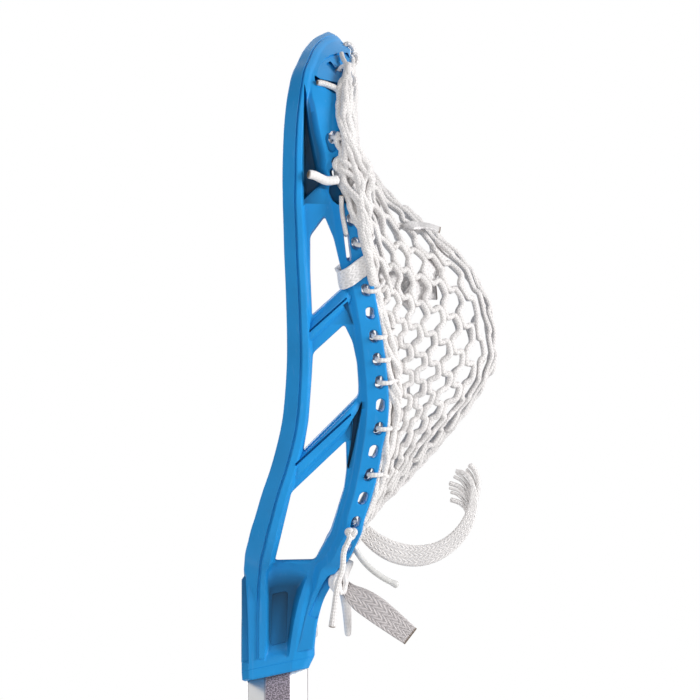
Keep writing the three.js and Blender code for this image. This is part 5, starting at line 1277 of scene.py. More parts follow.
# The mesh's edge, gathered over the upper back rail and bunched beside the lower one: middle, half width and half
# height of the gathering in the photograph's pixels and millimetres.
GATHERED = [[347.4, 65, 2.4, 1.2], [347, 72, 3.6, 1.6], [346.6, 78, 5.4, 2], [345.2, 85, 7.8, 2.5],
            [344.4, 94, 9.2, 2.9], [344.4, 106, 9.2, 3], [344.4, 118, 8.8, 3], [346, 130, 9.6, 3],
            [347.6, 142, 10.2, 3.1], [350, 151, 12.5, 3.3], [352.6, 160, 16.5, 3.5], [355, 170, 19, 3.6],
            [356.5, 180, 19.6, 3.6], [357.6, 192, 18, 3.4], [359.4, 204, 15, 3.1], [361.6, 216, 11.6, 2.7],
            [364, 230, 8.2, 2.2], [366.4, 246, 6, 1.9], [369.4, 264, 5, 1.8], [373, 284, 4.4, 1.6]]
GATHERED_CORDS = 13
BUNCHED = [[360, 214, 6, 2], [364, 232, 5.4, 2], [368, 256, 5, 2], [373, 280, 5.6, 2], [377.4, 302, 6.6, 2.2],
           [382, 322, 7.6, 2.5], [387.4, 346, 9, 2.8], [391.6, 370, 10.2, 3], [393, 390, 10.4, 3],
           [391.6, 410, 10, 3], [389.2, 430, 9.4, 2.8], [386, 450, 8.6, 2.6], [381.6, 470, 7.4, 2.4],
           [376, 490, 6.2, 2.1], [369.8, 506, 5, 1.8], [362.6, 522, 3.8, 1.5]]
BUNCHED_CORDS = 11
# A skein: its turning in radians a millimetre, the size and the range of paces of its cords' drift round the oval,
# how far in and at what pace they sink, how much and at what pace they swell, and the oval's least half size. The
# paces are in radians a millimetre too.
GATHER_TWIST = 0.055
SKEIN_DRIFT, SKEIN_PACES = 0.45, (0.06, 0.16)
SKEIN_SINK, SKEIN_SINK_PACE, SKEIN_SWELL, SKEIN_SWELL_PACE, SKEIN_LEAST = 0.14, 0.4, 0.07, 0.9, 0.4
GATHER_LIFT = 2.4
BUNCH_RISE = 0.4
RAIL_STRING_LIFT = 0.7
SKEIN_STEP, RAIL_STRING_STEP = 1.0, 0.8
# Starts of the random draws: the mesh, its two edges and the strings knotted at the throat.
MESH_SEED, GATHERED_SEED, BUNCHED_SEED, THROAT_KNOT_SEED = 7, 3, 5, 8
THROAT_KNOT = [[350, 562, 4.4, 1.6], [346.6, 568, 6, 2], [342, 574, 9, 2.4], [339, 581, 11, 2.8],
               [339.4, 588, 9, 2.6], [341, 594, 5.6, 2]]
THROAT_KNOT_CORDS, THROAT_KNOT_RADIUS = 7, 1.35
THROAT_KNOT_ACROSS = -19.0
# Strings that leave the gathering over the rail, and their radius.
RAIL_STRINGS = [
    ([[341.6, 53.6], [342.6, 58], [345, 62.6], [347.4, 68], [347.8, 76]], 1.15),
    ([[318.6, 83.6], [324, 84.4], [330, 86.6], [336.4, 89.6], [341, 95]], 1.5),
    ([[341.4, 197], [341.6, 206], [342.6, 216], [344.6, 227], [346, 234]], 1.15),
    ([[339, 134.6], [336.6, 140.6], [338.8, 147], [343, 152], [347, 158]], 1.5),
    ([[343.6, 157.4], [337, 161], [335.4, 166.4], [339.6, 170.6], [345.4, 173.6]], 1.6),
]


def skein(shell, rows, count, radius, lie, seed):
    """Cords gathered round a core. Each keeps its own place round an oval, which drifts as a sum of slow sines, and
    the whole turns slowly. lie gives the core's points from x and height in the side view."""
    rows = np.asarray(rows, float)
    fine = refined(rows, SKEIN_STEPS_PER_ROW * (len(rows) - 1) + 1)
    seen = from_photo(fine[:, :2])
    core, outward = lie(seen[:, 0], seen[:, 1])
    along = lengths_along(core)
    sideways = unit(np.cross(unit(np.gradient(core, axis=0)), outward))
    rng = np.random.default_rng(seed)
    for number in range(count):
        phases, pace = rng.uniform(0, 2 * math.pi, 3), rng.uniform(*SKEIN_PACES, 3)
        drift = sum(np.sin(along * p + start) for p, start in zip(pace, phases)) * SKEIN_DRIFT
        turn = number / count * 2 * math.pi + along * GATHER_TWIST + drift
        inset = 1 - SKEIN_SINK + SKEIN_SINK * np.sin(along * SKEIN_SINK_PACE + phases[0])
        wide = np.maximum(fine[:, 2] * PHOTO_PIXEL - radius, SKEIN_LEAST)
        high = np.maximum(fine[:, 3] - radius * 0.6, SKEIN_LEAST)
        path = (core + sideways * (np.cos(turn) * wide * inset)[:, None]
                + outward * (np.sin(turn) * high * inset)[:, None])
        swell = radius * (1 + SKEIN_SWELL * np.sin(along * SKEIN_SWELL_PACE + phases[1]))
        even = evenly(path, SKEIN_STEP)
        round_cord(shell, even, np.interp(lengths_along(even), lengths_along(path), swell), rounded=0.6)


def over_rail(x, height):
    """The core of the gathered edge, GATHER_LIFT over the back rail's outer face, and the way out of it: from the
    point of the face that is seen at the same place, and on towards the viewer."""
    face = on_wall(x, height, None, -GATHER_LIFT)
    return face, unit(face - on_wall(x, height, None, 0.0) + [0, -1.0, 0])


def beside_rail(x, height):
    """The core of the bunched edge, BUNCH_RISE above the hoop line behind the back edge, and the way out of it, which
    is the way to the viewer."""
    line = on_wall(x, height, BUNCH_RISE)
    return line, np.tile([0, -1.0, 0], (len(line), 1))


def behind_throat(x, height):
    """The core of the knotted strings at the throat, in the upright plane THROAT_KNOT_ACROSS, and the way out."""
    return np.column_stack([x, np.full(len(x), THROAT_KNOT_ACROSS), height]), np.tile([0, -1.0, 0], (len(x), 1))


def build_gathered(diameter, far):
    """The mesh's gathered and bunched edge with the strings over the rail, or its mirror image on the far side, whose
    faces then run the other way round."""
    shell = Shell()
    skein(shell, GATHERED, GATHERED_CORDS, diameter / 2 + 0.1, over_rail, GATHERED_SEED)
    skein(shell, BUNCHED, BUNCHED_CORDS, diameter / 2, beside_rail, BUNCHED_SEED)
    for corners, radius in RAIL_STRINGS:
        path = on_wall(*from_photo(corners).T, None, -RAIL_STRING_LIFT * radius)
        round_cord(shell, evenly(path, RAIL_STRING_STEP), radius, rounded=0.7, singe=(0.8, 0))
    if far:
        shell.points = [mirrored(points) for points in shell.points]
        shell.loops = [loops.reshape(-1, size[0])[:, ::-1].ravel() for loops, size in zip(shell.loops, shell.sizes)]
        shell.uvs = [uv.reshape(-1, size[0], 2)[:, ::-1].reshape(-1, 2) for uv, size in zip(shell.uvs, shell.sizes)]
    return shell.mesh("far_gathering" if far else "near_gathering")


# Strings and laces.

LOOP_GAP = 0.4
OPENING_GAP = 0.5
WRAP_PLACE = 2.06
WRAP_PASS_SHARES = [0.75, -0.85]
WRAP_TILT = 0.62
WRAP_INSIDE = 1.7
THROAT_STRING_PAST, THROAT_STRING_DROP = 1.0, 2.5
SHOOTING_GAP, SHOOTING_REACH = 0.7, 0.8


def clear_of_wall(at, point, away):
    """A point moved far enough in from the hoop's inner face for a string to pass it."""
    offset = point - at["back"]
    missing = max(0.0, offset @ at["outward"] + WALL_INSIDE + away) if offset @ at["inward"] < away else 0.0
    return point - at["outward"] * missing


def stitch(at, knot, neighbours):
    """One stitch: up through a hole, over the back edge, down through the mesh beside a knot and under the knot."""
    away = STRING_RADIUS + LOOP_GAP
    top = BACK_RAIL_RISE * at["rise"]
    a, b = unit(neighbours[0] - knot), unit(neighbours[1] - knot)
    down, over = unit(a + b), unit(np.cross(b, a))
    corner = unit(over + at["outward"])
    reach = (MESH_CORD / 2 + STRING_RADIUS + OPENING_GAP) / math.sin(math.acos(a @ b) / 2)
    clear = MESH_CORD / 2 + away
    return [
        rail_point(at, -HOLE_INSET, -WALL_INSIDE - away - LOOP_GAP),
        rail_point(at, -HOLE_INSET, 0),
        rail_point(at, -HOLE_INSET, top),
        rail_point(at, -HOLE_INSET + STRING_RADIUS, top + away),
        rail_point(at, -EDGE_ROUNDING, top + away),
        rail_point(at, away / 2, top + away / 2),
        rail_point(at, away, top - EDGE_ROUNDING),
        knot + corner * (clear + LOOP_GAP),
        knot + down * reach / 2 + over * clear,
        knot + down * reach + over * MESH_CORD / 2,
        knot + down * reach - over * MESH_CORD / 2,
        clear_of_wall(at, knot + down * reach / 2 - over * clear, away),
        clear_of_wall(at, knot - over * clear, away),
    ]


def rim_at_height(height):
    """The hoop where the near back edge has a height."""
    return rim(float(place_at_height(height)))


def sidewall_path():
    """The string that laces the mesh to one sidewall, stitch after stitch, ending in the lowest laced hole."""
    inner = -WALL_INSIDE - STRING_RADIUS - LOOP_GAP * 2
    points = [rail_point(rim_at_height(hole_height(LACED_HOLES[0] - 0.5)), -HOLE_INSET, inner)]
    for number in LACED_HOLES:
        row = next(i for i, place in enumerate(KNOT_PLACES) if abs(place - number) < 0.5) + 0.5
        neighbours = [pocket(column_across(0.5), row - 0.5), pocket(column_across(0.5), row + 0.5)]
        points += stitch(rim_at_height(hole_height(number)), pocket(-1.0, row), neighbours)
        if number < WRAP_PLACE < number + 2:
            behind = inner - LACE_THICKNESS - LACE_GAP
            for share in WRAP_PASS_SHARES:
                at = rim_at_height(hole_height(WRAP_PLACE) + share * LACE_WIDTH)
                points.append(rail_point(at, -EDGE_ROUNDING, behind))
    at = rim_at_height(hole_height(LAST_HOLE))
    return np.array(points + [rail_point(at, -HOLE_INSET, rise) for rise in (inner, 0, WEB_RISE)])


def top_path():
    """The string that laces the mesh to the scoop, from the near side over the top to the far side."""
    points = []
    for column in SCOOP_HOLE_COLUMNS:
        across = float(column_across(column))
        neighbours = [pocket(across + 1 / MESH_COLUMNS, 0.5), pocket(across - 1 / MESH_COLUMNS, 0.5)]
        points += stitch(rim(float(scoop_place(across))), pocket(across, 0.0), neighbours)
    return np.array(points)


def throat_point(across):
    """A point of the cord that draws the mesh's lower edge to the throat."""
    return pocket(across, float(MESH_ROWS)) + [THROAT_STRING_PAST, 0, -THROAT_STRING_DROP]


def shooting_path(row):
    """Middle line of a lace across the pocket, on the inner side of the mesh, and the direction of its width."""
    across = (np.linspace(0, 1, 61) * 2 - 1) * SHOOTING_REACH
    depth = MESH_CORD / 2 + LACE_THICKNESS / 2 + SHOOTING_GAP
    down, _, out = pocket_ways(across, np.full(61, float(row)))
    return pocket(across, row) - out * depth, down


def wrap_path():
    """The flat lace round the near back rail: its middle line in a tilted section, and the direction of its width."""
    off = LACE_THICKNESS / 2 + LACE_GAP
    outer = BACK_RAIL_RISE + off + LACE_GAP / 3
    inner = -WALL_INSIDE - off - LACE_GAP / 2
    shares = WINDOW_SHARES[0][4:] + [WINDOW_SHARES[0][0]]
    edge = np.array([[x * HEAD_DEPTH, float(height_at(h))] for x, h in shares])

    def window_edge(height):
        """How far past the back edge the window's edge lies at a height."""
        at = rim_at_height(height)
        return (np.interp(height, edge[:, 1], edge[:, 0]) - at["back"][0]) / at["inward"][0]

    low = float(hole_height(WRAP_PLACE)) - WRAP_TILT * BACK_RAIL_WIDTH
    window = min(window_edge(low), window_edge(low + LACE_WIDTH / 2)) - WRAP_INSIDE
    section = [[off + LACE_GAP / 4, BACK_RAIL_RISE - EDGE_ROUNDING * 2],
               [off - LACE_GAP / 3, BACK_RAIL_RISE + off / 2], [-EDGE_ROUNDING, outer],
               [-BACK_RAIL_WIDTH / 2, outer], [-BACK_RAIL_WIDTH, outer],
               [window + off / 2, (WEB_RISE + outer) / 2], [window - LACE_GAP / 2, WEB_RISE / 2],
               [window, inner + off / 2], [window + LACE_THICKNESS + LACE_GAP, inner], [-BACK_RAIL_WIDTH / 2, inner],
               [-EDGE_ROUNDING, inner], [off, inner + EDGE_ROUNDING]]
    points, widths = [], []
    for past, rise in section:
        at = rim_at_height(float(hole_height(WRAP_PLACE)) + WRAP_TILT * (past + BACK_RAIL_WIDTH / 2))
        points.append(rail_point(at, past, rise))
        widths.append(at["along"])
    points, widths = np.array(points + points[:1]), np.array(widths + widths[:1])
    places = np.linspace(0, len(points) - 1, 97)[:-1]
    return smooth_rows(points, places), smooth_rows(widths, places)


# Loose ends: steps in x, y and height from what each hangs on, and the width of a flat one.

KNOT_RADIUS = 3.4
KNOT_PLACE, KNOT_INSET = 13.26, 6.2
KNOT_TAIL_RADIUS = 1.4
KNOT_TAIL_STEPS = [[0, 0, 0], [-1.4, -1.4, -4], [-3.5, -1.6, -9], [-4.2, -1.2, -17], [-6.8, -0.4, -26.8],
                   [-9.2, 0.8, -45.2]]
THROAT_TAIL_RADIUS = 2.3
THROAT_TAIL_ACROSS = -0.62
THROAT_TAIL_STEPS = [[0, -0.2, -1.6], [1, -0.7, -7.6], [1.9, -1.2, -14], [2.5, -1.8, -25.5]]
NYLON_RADIUS = 1.45
NYLON_ROW = 13.5
NYLON_STEPS = [[0.7, -0.8, -1.4], [4.8, -0.9, -7.2], [9.8, -0.3, -11.8], [14.9, 0.5, -15.2], [20.1, 1.3, -17.8]]
FLAT_TAIL_ROWS = [[0.2, -1.2, -1.4, 3.6], [4.4, -2.9, -6.8, 8], [9.7, -3.3, -10.8, 11.6],
                  [15.8, -3.7, -14.8, 12.6], [22.2, -4.1, -19.6, 12], [28.4, -4.5, -24.4, 10.8],
                  [34.1, -4.9, -28.8, 9.6]]
MESH_BAND_ROWS = [[4.4, -3, 2.4, 7.6], [8, -3, -1.2, 8.6], [12.6, -3, -4.6, 9.6], [18.8, -3, -7.7, 10.4],
                  [26.3, -3, -9.4, 10.6], [33.8, -3.5, -9.2, 10], [41.6, -4, -6.6, 8.8], [48.4, -4.5, -1.7, 7.6],
                  [53.4, -5, 4.4, 6.6], [56.4, -5, 11.2, 5.6], [57.6, -5, 18.2, 4], [57, -5, 25, 2.6],
                  [54, -4.6, 30, 2.2], [49, -4, 31.7, 2]]
MESH_FAN = [
    (1.35, [[474.5, 506], [478, 492], [478.6, 480], [475, 470.5], [470.4, 465.6]]),
    (0.8, [[473.5, 505], [475.2, 491], [472.6, 477.5], [467.2, 470]]),
    (0.75, [[472.5, 504], [473.6, 491.7], [469.2, 479.2], [461.6, 471.4]]),
    (0.75, [[471.5, 503], [471.6, 493.3], [465.8, 480.6], [457.5, 473.6]]),
    (0.8, [[470.8, 505], [469.6, 495], [462.9, 482.6], [454.6, 477.2]]),
    (1.15, [[470, 506], [467.6, 497.6], [460.6, 487.8], [450.4, 483.8]]),
    (0.7, [[469.4, 507], [466.6, 500.4], [459.6, 491.9], [450, 488.6]]),
    (0.75, [[469, 508], [465.6, 503], [458.4, 495.6], [451.4, 492.8]]),
    (1.2, [[467.6, 512], [464.8, 507], [458.4, 502.6], [451.6, 500.4]]),
]
MESH_BAND_THICKNESS = 3.0
STUB_RADIUS = 2.2
STUB_STEPS = [[337, 180.4], [331.4, 181.2], [326, 181.2], [320.4, 178.8], [314.6, 176], [309.6, 175]]
INNER_TAIL_PLACES = [[-0.86, 3.5], [-0.8, 3.9], [-0.73, 4.4], [-0.66, 4.8], [-0.57, 5.2], [-0.48, 5.5]]
OUTER_TAIL_PLACES = [[-0.42, 3.9], [-0.37, 4], [-0.31, 4.15]]
OUTER_TAIL_STEPS = [[5.2, 0.6, -0.6], [10.4, 1, -2.4]]
OUTER_TAIL_WIDTH_WAY = [0, 0.9, 0.35]
INNER_TAIL_WIDTH_SHARE = 0.9
OUTER_TAIL_WIDTH_SHARE = 0.7
STRING_STEP = 0.7
TAIL_STEP = 0.9
FAN_STEP = 0.6
FAN_LAYERS = [-0.7, -0.2, 0.3]
MESH_BAND_WIDTH = 9.0
KNOT_TAIL_FLARE = [[0, 38, 46], [1, 1, 1.25]]
# Hidden first steps of the cords that start inside a knot or the gathered strings.
THROAT_TAIL_HIDDEN = [[-0.6, 0.5, 4.6]]
NYLON_HIDDEN = [[-3.6, -0.4, 6.4], [-1.2, -0.9, 2.4]]


def flat_rows(anchor, rows):
    """A flat end's middle line, the directions of its width in the plane of its bend, and its width."""
    rows = np.asarray(rows, float)
    fine = refined(rows, BAND_STEPS_PER_ROW * (len(rows) - 1) + 1)
    path = fine[:, :3] + anchor
    tangents = unit(np.gradient(path, axis=0))
    widths = np.cross(tangents, [0, 1.0, 0])
    return path, widths, fine[:, 3]


def knot_path():
    """An overhand knot: a trefoil, drawn tight."""
    t = np.linspace(0, 2 * math.pi, 90)
    size = (KNOT_RADIUS - KNOT_TAIL_RADIUS) / 3
    x = (np.sin(t) + 2 * np.sin(2 * t)) * size
    z = (np.cos(t) - 2 * np.cos(2 * t)) * size
    y = -np.sin(3 * t) * KNOT_TAIL_RADIUS * 0.75
    return np.stack([x, y, z], axis=1)


def tail_anchors():
    """Where each loose end hangs."""
    knot = rail_point(rim_at_height(hole_height(KNOT_PLACE)), -KNOT_INSET, BACK_RAIL_RISE + CLEARANCE + KNOT_RADIUS)
    return {
        "knot": knot, "throat": throat_point(THROAT_TAIL_ACROSS), "nylon": pocket(-1.0, NYLON_ROW),
        "flat": throat_point(-1.0), "band": pocket(0.0, MESH_ROWS - 1.0),
    }


# Finishes.


def value_method(operation, turned=False):
    """A method that adds one maths node. Its inputs are the value itself and any other, or those turned round."""
    return lambda self, *other: maths(self.tree, operation, *((*other, self) if turned else (self, *other)))


class Value:
    """A number that a node tree works out at every point. A sum with it adds the maths node of the same meaning, and
    its result is such a number too."""

    def __init__(self, tree, socket):
        """Takes an output of one of the tree's nodes."""
        self.tree, self.socket = tree, socket

    __add__, __sub__, __mul__, __truediv__ = map(value_method, ("ADD", "SUBTRACT", "MULTIPLY", "DIVIDE"))
    __gt__, __lt__, __abs__ = map(value_method, ("GREATER_THAN", "LESS_THAN", "ABSOLUTE"))
    __rsub__ = value_method("SUBTRACT", True)


def feed(tree, socket, value):
    """Gives a socket a number or colour, or links it to what another node works out."""
    value = value.socket if isinstance(value, Value) else value
    if isinstance(value, bpy.types.NodeSocket):
        tree.links.new(value, socket)
    else:
        socket.default_value = value


def add_node(tree, kind, inputs=None, **settings):
    """A shader node with its settings. An input takes a value, or the output of another node."""
    node = tree.nodes.new(kind)
    for name, value in settings.items():
        setattr(node, name, value)
    for name, value in (inputs or {}).items():
        feed(tree, node.inputs[name], value)
    return node


def maths(tree, operation, *values):
    """The result of one maths node on numbers or outputs."""
    return Value(tree, add_node(tree, "ShaderNodeMath", dict(enumerate(values)), operation=operation).outputs[0])


def mixed(tree, share, low, high):
    """A colour between two: low where the share is 0, high where it is 1."""
    return add_node(tree, "ShaderNodeMix", {0: share, 6: low, 7: high}, data_type="RGBA").outputs[2]


def noise(tree, place, scale, detail, **more):
    """Smooth noise from 0 to 1 on coordinates, with its scale in cells a metre."""
    inputs = {"Vector": place, "Scale": scale, "Detail": detail, **more}
    return Value(tree, add_node(tree, "ShaderNodeTexNoise", inputs).outputs[0])


def embossed(tree, shader, height, strength, distance):
    """Puts a height into a shader's normal as bump."""
    bump = add_node(tree, "ShaderNodeBump", {"Height": height, "Strength": strength, "Distance": distance})
    feed(tree, shader.inputs["Normal"], bump.outputs[0])


def ramped(tree, value, low, high):
    """A value stretched from low..high to 0..1, held at both ends."""
    node = add_node(tree, "ShaderNodeMapRange", {"Value": value, "From Min": low, "From Max": high})
    return Value(tree, node.outputs["Result"])


def parts_of(tree, vector):
    """The three parts of a vector."""
    parts = add_node(tree, "ShaderNodeSeparateXYZ", {"Vector": vector}).outputs
    return [Value(tree, parts[axis]) for axis in "XYZ"]


def new_group(name, inputs, outputs):
    """An empty shader node group with sockets, given as name to kind and default."""
    group = bpy.data.node_groups.new(name, "ShaderNodeTree")
    for label, (kind, default) in inputs.items():
        socket = group.interface.new_socket(name=label, in_out="INPUT", socket_type=kind)
        if default is not None:
            socket.default_value = default
    for label, kind in outputs.items():
        group.interface.new_socket(name=label, in_out="OUTPUT", socket_type=kind)
    return group, group.nodes.new("NodeGroupInput").outputs, group.nodes.new("NodeGroupOutput").inputs


FLOAT, VECTOR = "NodeSocketFloat", "NodeSocketVector"
# Shares of a grained surface: how strongly and how much lighter scratches show and how deep they are, and how much
# patches and grain roughen it round its own roughness.
SCRATCH_SHARE, SCRATCH_LIGHTER, SCRATCH_DEPTH = 0.05, 0.25, 0.5
PATCH_ROUGHNESS, GRAIN_ROUGHNESS, ROUGHNESS_OFFSET = 0.05, 0.08, 0.06
# The shaft's grit: cells a metre of its specks and grains, how dark and how light the specks are, and its roughness
# and relief. Then the metal's own roughness and share of metal, and how strongly the dark lines show.
GRIT_SPECKS, GRIT_CELLS, GRIT_DARK, GRIT_LIGHT, GRIT_ROUGHNESS, GRIT_RELIEF = 1500.0, 1300.0, 0.5, 2.1, 0.45, 3.0
METAL_ROUGHNESS, METAL_SHARE, LINE_SHARE, LINE_SHADE = 0.3, 0.8, 0.55, 1.2
# A textile: cells a metre of its dirt and fuzz, how dark the dirt is, how dark the painted crevice shade is, and the
# fuzz's share of the relief.
DIRT_SCALE, FUZZ_SCALE, DIRT_SHADE, CREVICE_SHADE, FUZZ_SHARE = 60.0, 4000.0, 0.93, 0.45, 0.25
WEAVE_RELIEF = 0.0004
SINGED = (0.13, 0.085, 0.05, 1)
# Colour of the shade painted down the head's hollows.
PAINTED_SHADE_BLUE = (0.002, 0.035, 0.08, 1)
PLASTIC_GLOSS = 0.2


def plait_group():
    """Round braid: two sets of strands that wind opposite ways, each going over and under the other. Height is one
    half plus half the product of two sines, one of along plus round and one of along minus round."""
    group, given, out = new_group(
        "Plait", {"Vector": (VECTOR, None), "Strands": (FLOAT, 4.0), "Pitch": (FLOAT, 0.004)},
        {"Height": FLOAT, "Crevice": FLOAT})
    x, y, _ = parts_of(group, given["Vector"])
    round_, along, turn = x * given["Strands"], y / given["Pitch"], 2 * math.pi
    one, two = (maths(group, "SINE", wound * turn) for wound in (along + round_, along - round_))
    height = one * two * 0.5 + 0.5
    feed(group, out["Height"], height)
    # Crevice marks where shade is painted: 1 down between the strands.
    feed(group, out["Crevice"], 1.0 - ramped(group, height, 0.0, 0.35))
    return group


def chevron_group():
    """Knit and herringbone: slanting stitches that turn back at the edge of each column round the cord. Height is a
    sine along the cord, shifted by the slant times the share of a column, times a sine across the column."""
    group, given, out = new_group("Chevron", {
        "Vector": (VECTOR, None), "Columns": (FLOAT, 4.0), "Pitch": (FLOAT, 0.002), "Slant": (FLOAT, 0.6)
    }, {"Height": FLOAT, "Crevice": FLOAT})
    x, y, _ = parts_of(group, given["Vector"])
    share = maths(group, "PINGPONG", x * given["Columns"], 0.5) * 2.0
    along = y / given["Pitch"] + share * given["Slant"]
    rib = maths(group, "SINE", share * math.pi) * 0.6 + 0.4
    height = rib * (maths(group, "SINE", along * (2 * math.pi)) * 0.35 + 0.65)
    feed(group, out["Height"], height)
    # Crevice marks where shade is painted: 1 down between the stitches.
    feed(group, out["Crevice"], 1.0 - ramped(group, height, 0.12, 0.5))
    return group


def grain_group():
    """Fine grain, slow patches and sparse long scratches on Object coordinates."""
    group, given, out = new_group(
        "Grain", {"Vector": (VECTOR, None), "Grain size": (FLOAT, 2000.0), "Patch size": (FLOAT, 30.0)},
        {"Grain": FLOAT, "Patches": FLOAT, "Scratches": FLOAT})
    place = given["Vector"]
    long = add_node(group, "ShaderNodeMapping", {"Vector": place, "Scale": (1.0, 1.0, 0.06),
                                                 "Rotation": (0.3, 0.2, 0.0)}).outputs[0]
    feed(group, out["Grain"], noise(group, place, given["Grain size"], 3.0, Roughness=0.6))
    feed(group, out["Patches"], ramped(group, noise(group, place, given["Patch size"], 2.0), 0.35, 0.65))
    feed(group, out["Scratches"], ramped(group, noise(group, long, 700.0, 1.0), 0.66, 0.74))
    return group


def shade(colour, by):
    """A colour multiplied by a number and held between 0 and 1."""
    return (*(max(0.0, min(1.0, c * by)) for c in colour[:3]), 1.0)


def new_material(name):
    """A material with its node tree and its Principled shader."""
    made = bpy.data.materials.new(name)
    made.use_nodes = True
    tree = made.node_tree
    return made, tree, tree.nodes["Principled BSDF"]


def grained(name, groups, colour, rough, grain_size, bump, metallic=0.0, spread=0.06, distance=0.0001, painted_shade=None):
    """Moulded or metal surface: grain in the bump, slow patches in colour and roughness, and a few scratches, each
    added in its own small share. The last argument is the colour of the shade painted down the head's hollows."""
    made, tree, shader = new_material(name)
    place = add_node(tree, "ShaderNodeTexCoord").outputs["Object"]
    surface = add_node(tree, "ShaderNodeGroup", node_tree=groups["Grain"])
    feed(tree, surface.inputs["Vector"], place)
    feed(tree, surface.inputs["Grain size"], grain_size)
    grain, patches, scratches = (Value(tree, surface.outputs[name]) for name in ("Grain", "Patches", "Scratches"))
    tint = mixed(tree, patches, shade(colour, 1 - spread), shade(colour, 1 + spread))
    tint = mixed(tree, scratches * SCRATCH_SHARE, tint, shade([c + SCRATCH_LIGHTER for c in colour[:3]], 1))
    # Painted shade: the colour is mixed towards the given shade colour as far as the head's painted-shade attribute
    # goes.
    if painted_shade:
        down = add_node(tree, "ShaderNodeAttribute", attribute_name=PAINTED_SHADE_NAME).outputs["Fac"]
        tint = mixed(tree, down, tint, painted_shade)
    feed(tree, shader.inputs["Base Color"], tint)
    roughness = patches * PATCH_ROUGHNESS + (grain * GRAIN_ROUGHNESS + (rough - ROUGHNESS_OFFSET))
    feed(tree, shader.inputs["Roughness"], roughness)
    feed(tree, shader.inputs["Metallic"], metallic)
    embossed(tree, shader, grain - scratches * SCRATCH_DEPTH, bump, distance)
    return made


def gritted(name, groups, colour, grit):
    """The shaft's metal, with grip grit on the flats of its two sides and a dark line along each flat's edges. Each
    part is 1 where Object coordinates pass its limits and 0 elsewhere, and the parts are multiplied and added."""
    made = grained(name, groups, colour, METAL_ROUGHNESS, 3200.0, 0.2, metallic=METAL_SHARE, spread=0.03)
    tree = made.node_tree
    shader = tree.nodes["Principled BSDF"]
    clean = shader.inputs["Base Color"].links[0].from_socket
    rough = shader.inputs["Roughness"].links[0].from_socket
    place = add_node(tree, "ShaderNodeTexCoord").outputs["Object"]
    x, y, _ = parts_of(tree, place)
    on_flat = (abs(y) > (SHAFT_WIDTH / 2 - 0.3) * MM) * (abs(x) < GRIT_HALF * MM)
    by_edge = (abs(x) > GRIT_HALF * MM) * (abs(x) < (GRIT_HALF + GRIT_EDGE) * MM)
    by_end = (abs(x) > (SHAFT_DEPTH / 2 - 0.5) * MM) * (abs(y) > (SHAFT_END_FLAT / 2 - 0.3) * MM)
    streak = abs(x - STREAK_PLACE * MM) < STREAK_HALF * MM
    lines = by_edge + by_end + streak * STREAK_STRENGTH
    lined = mixed(tree, lines * LINE_SHARE, clean, shade(grit, LINE_SHADE))
    specks = ramped(tree, noise(tree, place, GRIT_SPECKS, 2.0), 0.42, 0.62)
    speckled = mixed(tree, specks, shade(grit, GRIT_DARK), shade(grit, GRIT_LIGHT))
    feed(tree, shader.inputs["Base Color"], mixed(tree, on_flat, lined, speckled))
    feed(tree, shader.inputs["Roughness"], on_flat * GRIT_ROUGHNESS + rough)
    feed(tree, shader.inputs["Metallic"], (1.0 - on_flat) * METAL_SHARE)
    relief = next(node for node in tree.nodes if node.bl_idname == "ShaderNodeBump").inputs["Height"]
    cells = add_node(tree, "ShaderNodeTexVoronoi", {"Vector": place, "Scale": GRIT_CELLS}).outputs["Distance"]
    fine = Value(tree, relief.links[0].from_socket)
    feed(tree, relief, fine + Value(tree, cells) * on_flat * GRIT_RELIEF)
    return made


def woven(name, pattern, colour, rough, numbers, bump, crevice):
    """Textile surface on the piece's own UV map: stitches and a little fuzz in the bump, painted shade in the
    crevices, patches of dirt, and ends that turn brown as the singe attribute nears 1."""
    made, tree, shader = new_material(name)
    lay = add_node(tree, "ShaderNodeUVMap", uv_map=UV_NAME).outputs[0]
    weave = add_node(tree, "ShaderNodeGroup", node_tree=pattern)
    for label, value in {"Vector": lay, **numbers}.items():
        feed(tree, weave.inputs[label], value)
    stitches, crevices = (Value(tree, weave.outputs[name]) for name in ("Height", "Crevice"))
    place = add_node(tree, "ShaderNodeTexCoord").outputs["Object"]
    dirt = ramped(tree, noise(tree, place, DIRT_SCALE, 3.0), 0.35, 0.7)
    clean = mixed(tree, dirt, shade(colour, 1.0), shade(colour, DIRT_SHADE))
    # Painted shade: the colour darkens down the weave's crevices.
    painted_shade = mixed(tree, crevices * crevice, clean, shade(colour, CREVICE_SHADE))
    burnt = add_node(tree, "ShaderNodeAttribute", attribute_name=SINGE_NAME).outputs["Fac"]
    feed(tree, shader.inputs["Base Color"], mixed(tree, ramped(tree, burnt, 0.35, 0.9), painted_shade, SINGED))
    feed(tree, shader.inputs["Roughness"], rough)
    embossed(tree, shader, stitches + noise(tree, place, FUZZ_SCALE, 2.0) * FUZZ_SHARE, bump, WEAVE_RELIEF)
    return made


# Textiles: name, colour of the panel, roughness, numbers of the weave, bump, and how dark the shade painted in its
# crevices is.
WEAVES = [
    ("knit cord", "string", 0.85, {"Columns": 6.0, "Pitch": 0.0016, "Slant": 0.55}, 0.7, 0.6),
    ("braided cord", "string", 0.8, {"Strands": 4.0, "Pitch": 0.0032}, 0.7, 0.6),
    ("herringbone lace", "lace", 0.75, {"Columns": 6.0, "Pitch": 0.0024, "Slant": 1.0}, 0.7, 0.45),
    ("worn cord", "string", 0.85, {"Strands": 4.0, "Pitch": 0.0036}, 0.3, 0.2),
    ("grey lace", "used_lace", 0.8, {"Columns": 6.0, "Pitch": 0.003, "Slant": 1.3}, 1.0, 0.7),
    ("loose knit", "string", 0.9, {"Columns": 8.0, "Pitch": 0.0024, "Slant": 1.0}, 0.7, 0.35),
    ("smooth nylon", "nylon", 0.3, {"Strands": 3.0, "Pitch": 0.006}, 0.12, 0.1),
]


